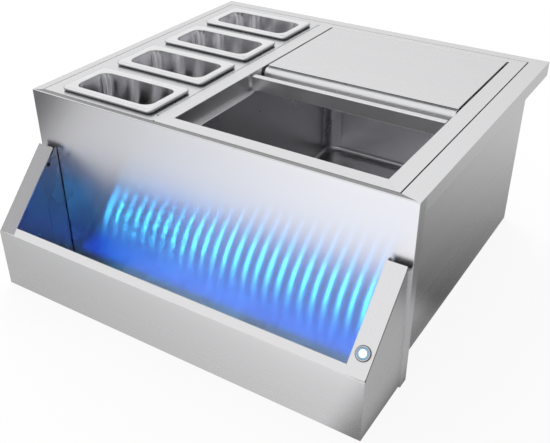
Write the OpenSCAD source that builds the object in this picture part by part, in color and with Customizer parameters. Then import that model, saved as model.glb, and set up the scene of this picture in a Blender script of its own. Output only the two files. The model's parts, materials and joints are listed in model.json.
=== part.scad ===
// Drop-in bar centre: insulated ice bin with two lids, four condiment pans and a lit speed rail.
// Millimetres. +X is to the right, +Y to the back, +Z up. The origin is on the floor, under the
// middle of the outline. Most modules are drawn from the deck datum: the flange's front left
// corner, x along the front, y to the back and z up from the deck's top face.

/* [Overall] */
// Width of the flange
unit_w = 762; // [740:1:860]
// Depth of the flange, from the front panel's face to the back edge
deck_d = 635; // [625:1:700]
// Height from the floor to the deck
body_h = 351; // [340:1:420]
// Thickness of the stainless sheet
sheet_t = 1.5; // [1:0.1:1.8]
// Clearance between parts that lift or slide apart
fit_gap = 0.3; // [0.2:0.05:0.4]

/* [Flange and casing] */
// Width of the flange's front strip
front_strip_w = 10; // [9:0.5:12]
// Width of the flange's left strip
left_strip_w = 17; // [16:0.5:19]
// Width of the flange's right strip
right_strip_w = 34; // [31:0.5:36]
// Width of the flange's back strip
back_strip_w = 24; // [20:0.5:28]
// Height of the turned-down skirt
skirt_h = 28; // [20:1:40]
// Distance from the flange's side edges in to the casing
side_overhang = 25; // [23:0.5:27]
// Distance from the flange's back edge in to the casing
back_overhang = 35; // [31:0.5:38]
// Depth of the front panel's side returns
front_return_d = 22; // [15:1:30]
// Depth of the front panel's return under the casing
bottom_return_d = 20; // [12:1:28]
// Width of the support ledge on the deck side of the seams
ledge_in = 13; // [13:0.5:14]
// Width of the support ledge on the flange side of the seams
ledge_out = 8; // [6:0.5:9]
// Open seam between the deck plates and the flange
deck_seam = 1.2; // [0.6:0.1:1.6]
// Open groove between the bin frame and the right strip
side_groove_w = 2.4; // [1.5:0.1:3]
// Width of the weld flange on each side panel
weld_flange_w = 15; // [10:1:20]
// Diameter of the fixing holes in the bottom panel
base_hole_d = 7; // [5:0.5:9]
// Distance of the fixing holes from the casing's sides
base_hole_side = 36; // [20:1:60]
// Distance of the fixing holes from the bottom panel's front and back edges
base_hole_end = 40; // [20:1:80]
// Diameter of the opening in the bottom panel round the waste outlet
waste_opening_d = 90; // [80:1:100]

/* [Ice bin] */
// Width of the condiment deck
condiment_w = 250; // [246:1:256]
// Land between the condiment deck and the bin opening
bin_left_land = 30; // [26:0.5:36]
// Distance from the front panel's face to the bin opening
bin_front_space = 39.5; // [36:0.5:46]
// Distance from the casing's right side to the bin opening
bin_right_space = 42.5; // [38:0.5:48]
// Distance from the casing's back to the bin opening
bin_back_space = 6; // [5:0.5:9]
// Depth of the opening's turned-down collar
collar_h = 35; // [33:0.5:40]
// Width of the ledge on which the front lid runs
ledge_w = 9; // [8:0.5:12]
// Lap of the tub's rim outside the collar
rim_lap = 3; // [2:0.5:3.5]
// Height of the tub's floor above the unit's underside
tub_rise = 61; // [58:1:90]
// Corner radius of the tub
tub_r = 25; // [15:1:40]
// Radius of the dished sump in the tub's floor
sump_r = 70; // [60:1:90]
// Radius of the sump's flat bottom
sump_flat_r = 36; // [34:0.5:42]
// Depth of the sump
sump_h = 4; // [2:0.5:6]
// Thickness of the foam boards round the tub
foam_t = 30; // [20:1:38]
// Length of the seam's open slot in front of the back pans, measured from each end of the deck
slot_end = 21; // [16:1:26]
// Width of the seam's open slot
slot_w = 1.6; // [1:0.1:2.2]
// Diameter of the bend relief holes
relief_d = 3.8; // [3:0.1:4.5]
// Distance from the seam to the front relief notch
relief_x = 7.6; // [6:0.1:9]

/* [Waste outlet] */
// Outside diameter of the threaded part of the outlet
tail_d = 38; // [34:0.5:44]
// Outside diameter of the plain spigot below the thread
spigot_d = 31.8; // [28:0.1:33.5]
// Bore of the spigot
spigot_bore_d = 27; // [20:0.5:27.5]
// Length of the outlet below the sump
outlet_len = 50; // [40:1:51]
// Diameter of the waste flange
waste_flange_d = 64; // [61:0.5:67]
// Thickness of the waste flange
waste_flange_t = 2; // [1.5:0.1:3]
// Clearance round the tail, in the tub, the gasket and the nut
tail_gap = 0.3; // [0.2:0.05:0.5]
// Outside diameter of the gasket
gasket_d = 60; // [56:0.5:64]
// Thickness of the gasket
gasket_t = 3; // [2:0.1:4]
// Width across the flats of the lock nut
tail_nut_af = 50; // [46:0.5:54]
// Height of the lock nut
tail_nut_h = 9; // [6:0.5:12]
// Diameter of the strainer plate
strainer_d = 54; // [48:0.5:58]
// Thickness of the strainer plate
strainer_t = 1.2; // [0.8:0.1:2]
// Diameter of the strainer's holes
strainer_hole_d = 4.5; // [3:0.1:5]
// Diameter of the strainer's knob
knob_d = 10; // [8:0.5:12]
// Height of the strainer's knob
knob_h = 12; // [8:0.5:20]

/* [Lids] */
// Gap between each lid and the side of the opening
lid_side_gap = 4; // [3:0.1:4.5]
// Gap behind the upper lid
upper_lid_gap = 2; // [1:0.1:3]
// Depth of the upper lid
upper_lid_d = 265; // [240:1:280]
// Height of the upper lid's folded sides
hem_h = 11.2; // [9:0.1:12]
// Reach of the upper lid's nose in front of its top sheet
nose_out = 13; // [12.5:0.5:16]
// Height from the deck to the bottom of the nose
nose_h = 28; // [25:0.5:29]
// Radius of the nose
nose_r = 11; // [8:0.5:12]
// Depth of the nose's bottom fold
nose_fold = 10; // [6:0.5:12]
// Depth of the handle's leg under the upper lid
nose_leg = 22; // [15:0.5:24]
// Width of the upper lid's stiffener
stiffener_w = 60; // [40:1:90]
// Height of the upper lid's stiffener
stiffener_h = 8; // [5:0.5:9]
// Width of the shelf that carries the upper lid
rest_w = 10; // [8:0.5:12]
// Height of the rest's leg
rest_leg = 11; // [8:0.5:12]
// Thickness of the rubber bumpers
bumper_t = 1; // [0.8:0.1:1.5]
// Width of the rubber bumpers
bumper_w = 6; // [5:0.5:6.5]
// Length of the rubber bumpers
bumper_l = 24; // [12:1:40]
// Distance that the lower lid's handle stands in front of the upper lid
lower_lid_lead = 55.5; // [45:0.5:65]
// Gap behind the lower lid
lower_lid_gap = 4; // [2:0.5:6]
// Drop from the deck to the top of the lower lid's handle
handle_drop = 4; // [2:0.5:6]
// Depth of the lower lid's handle
handle_d = 13; // [10:0.5:16]
// Height of the fold behind the lower lid's handle
handle_fold = 10; // [6:0.5:14]
// Height of the lower lid's rear flange
rear_flange_h = 10; // [6:0.5:14]
// Thickness of the glide strips
glide_t = 3; // [2.5:0.1:3.5]

/* [Condiment pans] */
// Length of a pan over its rim
pan_l = 207; // [202:0.5:208]
// Width of a pan over its rim
pan_w = 116; // [110:0.5:120]
// Depth of a pan below its rim
pan_depth = 100; // [65:1:110]
// Distance from the flange's front edge to the first pan
pan_front = 23.5; // [22:0.5:26]
// Distance from the last pan to the flange's back edge
pan_back = 59; // [58:0.5:80]
// Distance from the condiment deck's seam to the pans
pan_side = 10.5; // [9:0.5:12]
// Diameter of the rolled rim
rim_d = 8; // [6:0.5:9]
// Width of the rim, from its outer edge to the inside of the pan
rim_w = 16; // [14:0.5:18]
// Corner radius of the rim
rim_r = 10; // [9:0.5:14]
// Corner radius of the pan's mouth
mouth_r = 22; // [15:0.5:26]
// Draft of the pan's walls over its depth
pan_draft = 9; // [4:0.5:14]
// Thickness of the pan's sheet
pan_t = 1; // [0.8:0.1:1.2]
// Clearance between a pan and its cut-out
pan_gap = 2; // [1:0.1:3]
// Depth of the condiment well
well_depth = 130; // [120:1:200]
// Distance from the support ledge to the well's wall
well_space = 6; // [5:0.5:7]

/* [Speed rail] */
// Depth of the rail in front of the front panel
rail_d = 135; // [125:1:150]
// Distance from the flange's side edge in to the rail's end
rail_inset = 3.5; // [2:0.5:6]
// Height of the rail's front
rail_front_h = 118; // [110:1:135]
// Drop from the deck to the top of the rail's ends
rail_top_drop = 104.5; // [95:0.5:120]
// Gap between the top of the ends and the front panel
rail_gap = 10; // [8:0.5:12]
// Notch below the top of each end
rail_notch = 11.5; // [8:0.5:14]
// Width of each end
rail_end_w = 36; // [35:0.5:40]
// Width of the front rim along its slope
rail_rim = 16; // [14:0.5:20]
// Width of the flange that bolts to the front panel
rail_flange_w = 22; // [19:0.5:23]
// Depth of the access cover in each end
cover_d = 34; // [30:0.5:40]
// Distance from the front panel to the cover's screws
cover_screw_y = 26; // [22:0.5:28]
// Height of the cover's lower screw above the floor
cover_screw_low = 16; // [12:0.5:30]
// Drop from the deck to the cover's upper screw
cover_screw_drop = 133; // [130:0.5:150]
// Width of the strip that takes the cover's screws
screw_strip_w = 14; // [10:0.5:16]
// Diameter of the cover's screws
screw_d = 4; // [3:0.5:4]
// Diameter of the rail's bolts
bolt_d = 6; // [5:0.5:6]
// Clearance round bolts and screws
hole_gap = 0.3; // [0.2:0.05:0.4]
// Distance from the rail's outer face to the bolts
bolt_inset = 13; // [12:0.5:14]
// Distance of the end bolts from the top and bottom of the rail's flange
bolt_end = 30; // [15:1:50]
// Length of the rail's bolts under the head
bolt_len = 14; // [12:0.5:18]

/* [Light] */
// Number of lights
led_count = 28; // [14:1:36]
// Distance from each end of the trough to the first light
led_end = 4; // [3.8:0.1:20]
// Height of the lights above the floor
led_z = 62; // [50:1:80]
// Height of the light channel
channel_h = 14; // [13:0.5:18]
// Depth of the light channel
channel_d = 6; // [5:0.5:8]
// Wall of the light channel
channel_t = 1; // [0.8:0.1:1.2]
// Width of the circuit strip
strip_w = 10; // [8:0.5:10.5]
// Thickness of the circuit strip
strip_t = 1.2; // [0.8:0.1:1.6]
// Size of a light chip
chip_w = 5; // [3:0.1:5.5]
// Thickness of a light chip
chip_t = 1.6; // [1:0.1:2]
// Thickness of the channel's end caps
end_cap_t = 0.8; // [0.5:0.1:0.9]
// Width of the driver
driver_w = 28; // [20:0.5:30]
// Depth of the driver
driver_d = 60; // [50:1:64]
// Height of the driver
driver_h = 42; // [30:1:48]
// Diameter of the leads
lead_d = 3; // [2:0.1:3.5]

/* [Switch] */
// Distance of the switch from the rail's front corner, up the slope
switch_s = 38.7; // [34:0.1:60]
// Diameter of the switch's head
head_d = 25; // [24.5:0.1:28]
// Height of the switch's head
head_h = 2.2; // [1.5:0.1:3]
// Diameter of the switch's barrel
barrel_d = 21.8; // [21.8:0.1:22.5]
// Bore of the switch's barrel
barrel_bore_d = 19.2; // [18.8:0.1:19.6]
// Length of the switch's barrel
barrel_len = 28; // [22:0.5:30]
// Outside diameter of the light ring
ring_od = 17.2; // [16.5:0.1:17.6]
// Bore of the light ring
ring_bore_d = 13.6; // [13.4:0.1:14.2]
// Diameter of the cap
cap_d = 13; // [11:0.1:13]
// Diameter of the cap's stem
stem_d = 5; // [4:0.1:6]
// Travel of the cap
press_travel = 1.6; // [1:0.1:2]
// Length of the switch's insert
insert_len = 34; // [30:0.5:36]
// Length of the switch's pins
pin_len = 6; // [4:0.5:10]
// Width across the flats of the switch's nut
switch_nut_af = 26; // [25:0.5:26.5]
// Thickness of the switch's nut
switch_nut_h = 5; // [3:0.5:7]
// Diameter of the power inlet
inlet_d = 12; // [10:0.5:14]
// Bore of the power inlet
inlet_bore_d = 5.6; // [5:0.1:6.4]
// Depth of the power inlet's bore
inlet_bore_len = 9.5; // [8:0.5:11]
// Height of the power inlet
inlet_h = 14; // [12:0.5:18]
// Distance from the front panel to the power inlet
inlet_y = 26; // [22:0.5:30]

/* [Hidden] */
$fn = 64;
hull_fn = 32;

// Colours
steel = [0.80, 0.80, 0.81];
dark_steel = [0.55, 0.55, 0.58];
pan_steel = [0.72, 0.73, 0.75];
foam = [0.93, 0.88, 0.72];
rubber = [0.15, 0.15, 0.16];
nylon = [0.92, 0.92, 0.90];
zinc = [0.62, 0.64, 0.66];
board = [0.93, 0.94, 0.95];
plastic = [0.12, 0.12, 0.13];
light = [0.35, 0.75, 1.0];

// Deck datum
front_y = (rail_d - deck_d) / 2;
floor_z = -body_h;
low_z = floor_z + sheet_t;

// Deck plates
deck_x0 = left_strip_w;
deck_x1 = unit_w - right_strip_w;
deck_y0 = front_strip_w;
deck_y1 = deck_d - back_strip_w;
seam_x = deck_x0 + condiment_w;
plate_x1 = deck_x1 - side_groove_w;
plate_y0 = deck_y0 + deck_seam;
plate_y1 = deck_y1 - deck_seam;

// Casing
case_x0 = side_overhang;
case_x1 = unit_w - side_overhang;
case_y1 = deck_d - back_overhang;

// Bin opening and tub
bin_x0 = seam_x + bin_left_land;
bin_x1 = case_x1 - bin_right_space;
bin_y0 = bin_front_space;
bin_y1 = case_y1 - bin_back_space;
tub_x0 = bin_x0 + ledge_w;
tub_x1 = bin_x1 - ledge_w;
tub_y0 = bin_y0 + ledge_w;
tub_y1 = bin_y1 - ledge_w;
tub_z = floor_z + tub_rise;
drain_x = (tub_x0 + tub_x1) / 2;
drain_y = (tub_y0 + tub_y1) / 2;
sump_z = tub_z - sump_h;
thread_len = sheet_t + gasket_t + tail_nut_h + 3;

// Lids
lid_x0 = bin_x0 + lid_side_gap;
lid_x1 = bin_x1 - lid_side_gap;
upper_y1 = bin_y1 - upper_lid_gap;
upper_y0 = upper_y1 - upper_lid_d;
nose_y = upper_y0 - nose_out;
nose_top = -2 * sheet_t;
lower_y0 = upper_y0 - lower_lid_lead;
lower_y1 = bin_y1 - lower_lid_gap;
lower_z = -collar_h + fit_gap + glide_t;
bumper_z = -hem_h - fit_gap - bumper_t;

// Condiment section
well_x0 = deck_x0 + ledge_in + well_space;
well_x1 = seam_x - well_space;
well_y0 = deck_y0 + ledge_in + well_space;
well_y1 = case_y1 - well_space - 2 * sheet_t;
pan_x = seam_x - pan_side - pan_l;
pan_pitch = (deck_d - pan_front - pan_back - pan_w) / 3;
rim_z = fit_gap;
rim_top = rim_z + rim_d;

// Speed rail
rail_x0 = rail_inset;
rail_x1 = unit_w - rail_inset;
slope_run = rail_d - rail_gap;
slope_rise = body_h - rail_top_drop - rail_front_h;
slope_a = atan2(slope_rise, slope_run);
slope_t = sheet_t / cos(slope_a);
corner_z = floor_z + rail_front_h;
rim_y = -rail_d + rail_rim * cos(slope_a);
wall_y = -rail_d + sheet_t;
trough_x0 = rail_x0 + rail_end_w;
trough_x1 = rail_x1 - rail_end_w;
cover_y = -rail_gap - cover_d;
bolt_low = low_z + bolt_end;
bolt_high = -rail_top_drop - rail_notch - bolt_end;
bolt_z = [bolt_low, (bolt_low + bolt_high) / 2, bolt_high];
screw_z = [floor_z + cover_screw_low, -cover_screw_drop];

// Light
led_y = rim_y + channel_t + strip_t;
led_x0 = trough_x0 + led_end;
led_pitch = (trough_x1 - trough_x0 - 2 * led_end) / (led_count - 1);
led_mid_z = floor_z + led_z;
driver_x = rail_x1 - rail_end_w / 2 - driver_w / 2;
driver_y = wall_y + 8;
switch_x = rail_x1 - rail_end_w / 2;
recess_h = press_travel + 4.4;
cap_h = 2.2;

function slope_at(y) = corner_z + (y + rail_d) * tan(slope_a);

// Point on the switch's axis, h above the slope's face
function switch_point(h) = [switch_x, -rail_d + switch_s * cos(slope_a) - h * sin(slope_a),
    corner_z + switch_s * sin(slope_a) + h * cos(slope_a)];

module on_deck() {
    translate([-unit_w / 2, front_y, body_h]) children();
}

// A block from its low corner to its high corner
module block(low, high) {
    translate(low) cube(high - low);
}

// A yz outline, drawn as [y, z], pulled along x from x0 to x1
module along_x(x0, x1) {
    translate([x0, 0, 0]) rotate([90, 0, 90]) linear_extrude(height = x1 - x0) children();
}

module rounded_rect(w, d, r) {
    translate([r, 0]) square([w - 2 * r, d]);
    translate([0, r]) square([w, d - 2 * r]);
    for (x = [r, w - r], y = [r, d - r]) translate([x, y]) circle(r = r);
}

// Rounded block from a low corner to a high corner
module soft_block(low, high, r) {
    size = high - low;
    translate(low) linear_extrude(height = size[2]) rounded_rect(size[0], size[1], r);
}

module hex_nut(af, h, bore_d) {
    difference() {
        cylinder(d = af / cos(30), h = h, $fn = 6);
        translate([0, 0, -1]) cylinder(d = bore_d, h = h + 2);
    }
}

// ---- Casing

module outer_frame() color(steel) on_deck() {
    difference() {
        block([0, 0, -sheet_t], [unit_w, deck_d, 0]);
        block([deck_x0, deck_y0, -2 * sheet_t], [deck_x1, deck_y1, sheet_t]);
    }
    difference() {
        block([deck_x0 - ledge_out, sheet_t, -2 * sheet_t],
            [case_x1 + ledge_out, deck_y1 + ledge_out, -sheet_t]);
        block([deck_x0 + ledge_in, deck_y0 + ledge_in, -3 * sheet_t],
            [deck_x1 - ledge_in, deck_y1 - ledge_in, 0]);
    }
    skirt_y = front_return_d + fit_gap;
    block([0, skirt_y, -skirt_h], [sheet_t, deck_d, -sheet_t]);
    block([unit_w - sheet_t, skirt_y, -skirt_h], [unit_w, deck_d, -sheet_t]);
    block([sheet_t, deck_d - sheet_t, -skirt_h], [unit_w - sheet_t, deck_d, -sheet_t]);
}

module rail_bolt_places() {
    for (x = [rail_x0 + bolt_inset, rail_x1 - bolt_inset], z = bolt_z)
        translate([x, 0, z]) rotate([-90, 0, 0]) children();
}

module front_panel() color(steel) on_deck() {
    difference() {
        block([0, 0, floor_z], [unit_w, sheet_t, -sheet_t]);
        rail_bolt_places() translate([0, 0, -1]) cylinder(d = bolt_d + 2 * hole_gap, h = 4);
    }
    block([0, sheet_t, floor_z], [sheet_t, front_return_d, -sheet_t]);
    block([unit_w - sheet_t, sheet_t, floor_z], [unit_w, front_return_d, -sheet_t]);
    block([sheet_t, sheet_t, floor_z], [unit_w - sheet_t, bottom_return_d, low_z]);
}

module side_panel(x, side) {
    inner = x + (side > 0 ? sheet_t : -weld_flange_w);
    block([x, sheet_t, low_z], [x + sheet_t, case_y1 - sheet_t, -2 * sheet_t]);
    block([inner, sheet_t, low_z],
        [inner + weld_flange_w, 2 * sheet_t, -2 * sheet_t]);
}

module left_side_panel() color(steel) on_deck() side_panel(case_x0, 1);

module right_side_panel() color(steel) on_deck() side_panel(case_x1 - sheet_t, -1);

module back_panel() color(steel) on_deck()
    block([case_x0, case_y1 - sheet_t, low_z], [case_x1, case_y1, -2 * sheet_t]);

module bottom_panel() color(dark_steel) on_deck() {
    difference() {
        block([case_x0, bottom_return_d + fit_gap, floor_z], [case_x1, case_y1, low_z]);
        translate([drain_x, drain_y, floor_z - 1]) cylinder(d = waste_opening_d, h = 4);
        for (x = [case_x0 + base_hole_side, case_x1 - base_hole_side],
                y = [bottom_return_d + base_hole_end, case_y1 - base_hole_end])
            translate([x, y, floor_z - 1]) cylinder(d = base_hole_d, h = 4);
    }
}

// ---- Deck

module bin_frame() color(steel) on_deck() {
    difference() {
        block([seam_x, plate_y0, -sheet_t], [plate_x1, plate_y1, 0]);
        block([bin_x0, bin_y0, -3], [bin_x1, bin_y1, 3]);
        translate([seam_x + relief_x, plate_y0, -3]) cylinder(d = relief_d, h = 6);
        for (y = [plate_y0 + slot_end, plate_y1 - slot_end])
            translate([seam_x, y, -3]) cylinder(d = relief_d, h = 6);
    }
    difference() {
        block([bin_x0 - sheet_t, bin_y0 - sheet_t, -collar_h],
            [bin_x1 + sheet_t, bin_y1 + sheet_t, -sheet_t]);
        block([bin_x0, bin_y0, -collar_h - 1], [bin_x1, bin_y1, 0]);
    }
}

module pan_places() {
    for (k = [0:3]) pan_place(k) children();
}

module pan_place(k) {
    translate([pan_x, pan_front + k * pan_pitch, 0]) children();
}

module condiment_deck() color(steel) on_deck() {
    hole = rim_w - pan_t - pan_gap;
    difference() {
        block([deck_x0 + deck_seam, plate_y0, -sheet_t], [seam_x, plate_y1, 0]);
        pan_places() soft_block([hole, hole, -3], [pan_l - hole, pan_w - hole, 3], mouth_r);
        block([seam_x - slot_w, plate_y0 + slot_end, -3], [seam_x + 1, plate_y1 - slot_end, 3]);
        for (y = [plate_y0 + slot_end, plate_y1 - slot_end])
            translate([seam_x, y, -3]) cylinder(d = relief_d, h = 6);
    }
}

// ---- Ice bin

module drain_place(z) {
    translate([drain_x, drain_y, z]) children();
}

module ice_bin_tub() color(dark_steel) on_deck() {
    out = rim_lap;
    difference() {
        union() {
            block([bin_x0 - out, bin_y0 - out, -collar_h - sheet_t],
                [bin_x1 + out, bin_y1 + out, -collar_h]);
            soft_block([tub_x0 - sheet_t, tub_y0 - sheet_t, tub_z - sheet_t],
                [tub_x1 + sheet_t, tub_y1 + sheet_t, -collar_h - sheet_t], tub_r + sheet_t);
            drain_place(sump_z - sheet_t)
                cylinder(r1 = sump_flat_r + sheet_t, r2 = sump_r + sheet_t, h = sump_h);
        }
        soft_block([tub_x0, tub_y0, tub_z], [tub_x1, tub_y1, 1], tub_r);
        drain_place(sump_z) cylinder(r1 = sump_flat_r, r2 = sump_r, h = sump_h);
        drain_place(sump_z - 5) cylinder(d = tail_d + 2 * tail_gap, h = 10);
    }
}

module tub_insulation() color(foam) on_deck() {
    g = fit_gap;
    top = -collar_h - sheet_t - g;
    low = tub_z - sheet_t - g;
    bottom = low - foam_t;
    x0 = tub_x0 - sheet_t - g;
    x1 = tub_x1 + sheet_t + g;
    y0 = tub_y0 - sheet_t - g;
    y1 = tub_y1 + sheet_t + g;
    back = case_y1 - sheet_t - g;
    block([x0 - foam_t, y0 - foam_t, bottom], [x0, back, top]);
    block([x1, y0 - foam_t, bottom], [x1 + foam_t, back, top]);
    block([x0 + g, y0 - foam_t, bottom], [x1 - g, y0, top]);
    block([x0 + g, y1, bottom], [x1 - g, back, top]);
    difference() {
        block([x0 + g, y0 + g, bottom], [x1 - g, y1 - g, low]);
        drain_place(floor_z) cylinder(r = sump_r + 5 * sheet_t, h = body_h);
    }
}

module condiment_well() color(dark_steel) on_deck() {
    rim = well_space - 2 * fit_gap;
    difference() {
        union() {
            block([well_x0 - rim, well_y0 - rim, -2 * sheet_t],
                [well_x1 + rim, well_y1 + rim, -sheet_t]);
            soft_block([well_x0 - sheet_t, well_y0 - sheet_t, -well_depth - sheet_t],
                [well_x1 + sheet_t, well_y1 + sheet_t, -2 * sheet_t], tub_r + sheet_t);
        }
        soft_block([well_x0, well_y0, -well_depth], [well_x1, well_y1, 1], tub_r);
    }
}

module waste_outlet() color(zinc) on_deck() difference() {
    union() {
        drain_place(sump_z) cylinder(d = waste_flange_d, h = waste_flange_t);
        drain_place(sump_z - thread_len) cylinder(d = tail_d, h = thread_len + waste_flange_t);
        drain_place(sump_z - outlet_len) cylinder(d = spigot_d, h = outlet_len);
    }
    drain_place(sump_z - outlet_len - 1) cylinder(d = spigot_bore_d, h = outlet_len + 10);
}

module waste_gasket() color(rubber) on_deck() drain_place(sump_z - sheet_t - gasket_t)
    difference() {
        cylinder(d = gasket_d, h = gasket_t);
        translate([0, 0, -1]) cylinder(d = tail_d + 2 * tail_gap, h = gasket_t + 2);
    }

module waste_nut() color(zinc) on_deck() drain_place(sump_z - sheet_t - gasket_t - tail_nut_h)
    hex_nut(tail_nut_af, tail_nut_h, tail_d + 2 * tail_gap);

module drain_strainer() color(pan_steel) on_deck()
    drain_place(sump_z + waste_flange_t + fit_gap) {
        difference() {
            cylinder(d = strainer_d, h = strainer_t);
            for (ring = [1:2], k = [0:6 * ring - 1])
                rotate([0, 0, k * 60 / ring])
                    translate([(ring + 0.75) * strainer_hole_d * 1.5, 0, -1])
                        cylinder(d = strainer_hole_d, h = strainer_t + 2, $fn = 24);
        }
        cylinder(d = knob_d / 2, h = knob_h);
        translate([0, 0, knob_h]) sphere(d = knob_d);
    }

// ---- Lids

module lid_rests() color(steel) on_deck() {
    y0 = upper_y0 + nose_leg + nose_out;
    z = bumper_z;
    block([bin_x0, y0, z - rest_leg], [bin_x0 + sheet_t, bin_y1, z - sheet_t]);
    block([bin_x0, y0, z - sheet_t], [bin_x0 + rest_w, bin_y1, z]);
    block([bin_x1 - sheet_t, y0, z - rest_leg], [bin_x1, bin_y1, z - sheet_t]);
    block([bin_x1 - rest_w, y0, z - sheet_t], [bin_x1, bin_y1, z]);
    block([bin_x0 + rest_w, bin_y1 - rest_w, z - sheet_t], [bin_x1 - rest_w, bin_y1, z]);
}

module lid_bumpers() color(rubber) on_deck() {
    front = upper_y0 + nose_leg + 2 * nose_out;
    back = upper_y1 - 2 * bumper_l;
    for (x = [lid_x0, lid_x1 - sheet_t], y = [front, back])
        block([x + sheet_t / 2 - bumper_w / 2, y, bumper_z],
            [x + sheet_t / 2 + bumper_w / 2, y + bumper_l, bumper_z + bumper_t]);
}

module upper_lid() color(steel) on_deck() {
    hem_y = upper_y0 + nose_leg + fit_gap;
    block([lid_x0, upper_y0, -sheet_t], [lid_x1, upper_y1, 0]);
    block([lid_x0, hem_y, -hem_h], [lid_x0 + sheet_t, upper_y1, -sheet_t]);
    block([lid_x1 - sheet_t, hem_y, -hem_h], [lid_x1, upper_y1, -sheet_t]);
    block([lid_x0 + sheet_t, upper_y1 - sheet_t, -hem_h],
        [lid_x1 - sheet_t, upper_y1, -sheet_t]);
}

// Outline of the nose, filled, set in by a given amount
module nose_outline(inset) {
    r = nose_r - inset;
    y0 = nose_y + inset;
    top = nose_top - inset;
    bottom = -nose_h + inset;
    back = upper_y0 + nose_leg / 2 - inset;
    translate([nose_y + nose_r, nose_top - nose_r]) intersection() {
        circle(r = r);
        translate([-2 * nose_r, 0]) square([2 * nose_r, 2 * nose_r]);
    }
    translate([nose_y + nose_r, nose_top - nose_r]) square([back - nose_y - nose_r, r]);
    translate([y0, bottom]) square([back - y0, nose_top - nose_r - bottom]);
}

module upper_lid_handle() color(steel) on_deck() {
    back = upper_y0 + nose_leg / 2;
    difference() {
        along_x(lid_x0, lid_x1) nose_outline(0);
        along_x(lid_x0 + sheet_t, lid_x1 - sheet_t) nose_outline(sheet_t);
        block([lid_x0 + sheet_t, nose_y + nose_fold, -nose_h - 1],
            [lid_x1 - sheet_t, back + 1, nose_top - sheet_t]);
    }
    block([lid_x0, upper_y0 + 2 * sheet_t, nose_top], [lid_x1, upper_y0 + nose_leg, -sheet_t]);
}

module upper_lid_stiffener() color(dark_steel) on_deck() {
    x0 = (lid_x0 + lid_x1 - stiffener_w) / 2;
    x1 = x0 + stiffener_w;
    y0 = upper_y0 + nose_leg + fit_gap;
    y1 = upper_y1 - sheet_t - fit_gap;
    z = -sheet_t - stiffener_h;
    difference() {
        block([x0, y0, z], [x1, y1, -sheet_t]);
        block([x0 + sheet_t, y0 - 1, z + sheet_t], [x1 - sheet_t, y1 + 1, 0]);
    }
}

module lower_lid() color(steel) on_deck() {
    top = -handle_drop;
    back = lower_y0 + handle_d;
    block([lid_x0, lower_y0, lower_z], [lid_x1, lower_y1, lower_z + sheet_t]);
    block([lid_x0, lower_y0, lower_z + sheet_t], [lid_x1, lower_y0 + sheet_t, top]);
    block([lid_x0, lower_y0 + sheet_t, top - sheet_t], [lid_x1, back, top]);
    block([lid_x0, back - sheet_t, top - handle_fold], [lid_x1, back, top - sheet_t]);
    block([tub_x0 + tub_r, lower_y1 - ledge_w - sheet_t, lower_z - rear_flange_h],
        [tub_x1 - tub_r, lower_y1 - ledge_w, lower_z]);
}

module lower_lid_glides() color(nylon) on_deck() {
    w = ledge_w - lid_side_gap;
    for (x = [lid_x0, lid_x1 - w])
        block([x, lower_y0 + handle_d, -collar_h + fit_gap], [x + w, lower_y1, lower_z]);
}

// ---- Condiment pans

// Rolled bead round the pan's rim
module pan_bead() {
    r = rim_d / 2;
    c = rim_r - r;
    for (y = [r, pan_w - r])
        translate([rim_r, y, 0]) rotate([0, 90, 0]) cylinder(r = r, h = pan_l - 2 * rim_r);
    for (x = [r, pan_l - r])
        translate([x, rim_r, 0]) rotate([-90, 0, 0]) cylinder(r = r, h = pan_w - 2 * rim_r);
    for (k = [[rim_r, rim_r, 180], [pan_l - rim_r, rim_r, 270], [pan_l - rim_r, pan_w - rim_r, 0],
            [rim_r, pan_w - rim_r, 90]])
        translate([k[0], k[1], 0]) rotate([0, 0, k[2]])
            rotate_extrude(angle = 90) translate([c, 0]) circle(r = r);
}

// Tapered body of a pan, drawn from its rim down, with its walls set in by a given amount
module pan_body(inset, depth, top) {
    m = rim_w - pan_t + inset;
    b = m + pan_draft;
    r = mouth_r + pan_t - inset;
    hull() {
        for (x = [m + r, pan_l - m - r], y = [m + r, pan_w - m - r])
            translate([x, y, rim_top - 0.1]) cylinder(r = r, h = top, $fn = hull_fn);
        for (x = [b + r, pan_l - b - r], y = [b + r, pan_w - b - r])
            translate([x, y, rim_top - depth])
                cylinder(r1 = r * 0.8, r2 = r, h = r * 0.25, $fn = hull_fn);
    }
}

module condiment_pan(k) color(pan_steel) on_deck() pan_place(k) {
    difference() {
        union() {
            translate([0, 0, rim_z + rim_d / 2]) pan_bead();
            soft_block([rim_d / 2, rim_d / 2, rim_top - pan_t],
                [pan_l - rim_d / 2, pan_w - rim_d / 2, rim_top], rim_r - rim_d / 2);
            pan_body(0, pan_depth, 0.1);
        }
        pan_body(pan_t, pan_depth - pan_t, 3);
    }
}

module condiment_pan_1() condiment_pan(0);

module condiment_pan_2() condiment_pan(1);

module condiment_pan_3() condiment_pan(2);

module condiment_pan_4() condiment_pan(3);

// ---- Speed rail

module rail_front() color(steel) on_deck() {
    rim_z1 = slope_at(rim_y);
    along_x(rail_x0, rail_x1)
        polygon([[-rail_d, floor_z], [wall_y, floor_z], [wall_y, slope_at(wall_y)],
            [-rail_d, corner_z]]);
    along_x(trough_x0, trough_x1) {
        polygon([[wall_y, slope_at(wall_y)], [wall_y, slope_at(wall_y) - slope_t],
            [rim_y, rim_z1 - slope_t], [rim_y, rim_z1]]);
        translate([rim_y - sheet_t, low_z]) square([sheet_t, rim_z1 - 1.1 * slope_t - low_z]);
    }
}

module rail_floor() color(dark_steel) on_deck() difference() {
    block([rail_x0 + sheet_t, wall_y, floor_z], [rail_x1 - sheet_t, 0, low_z]);
    translate([switch_x, -inlet_y, floor_z - 1]) cylinder(d = inlet_d + 2 * hole_gap, h = 4);
}

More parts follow.
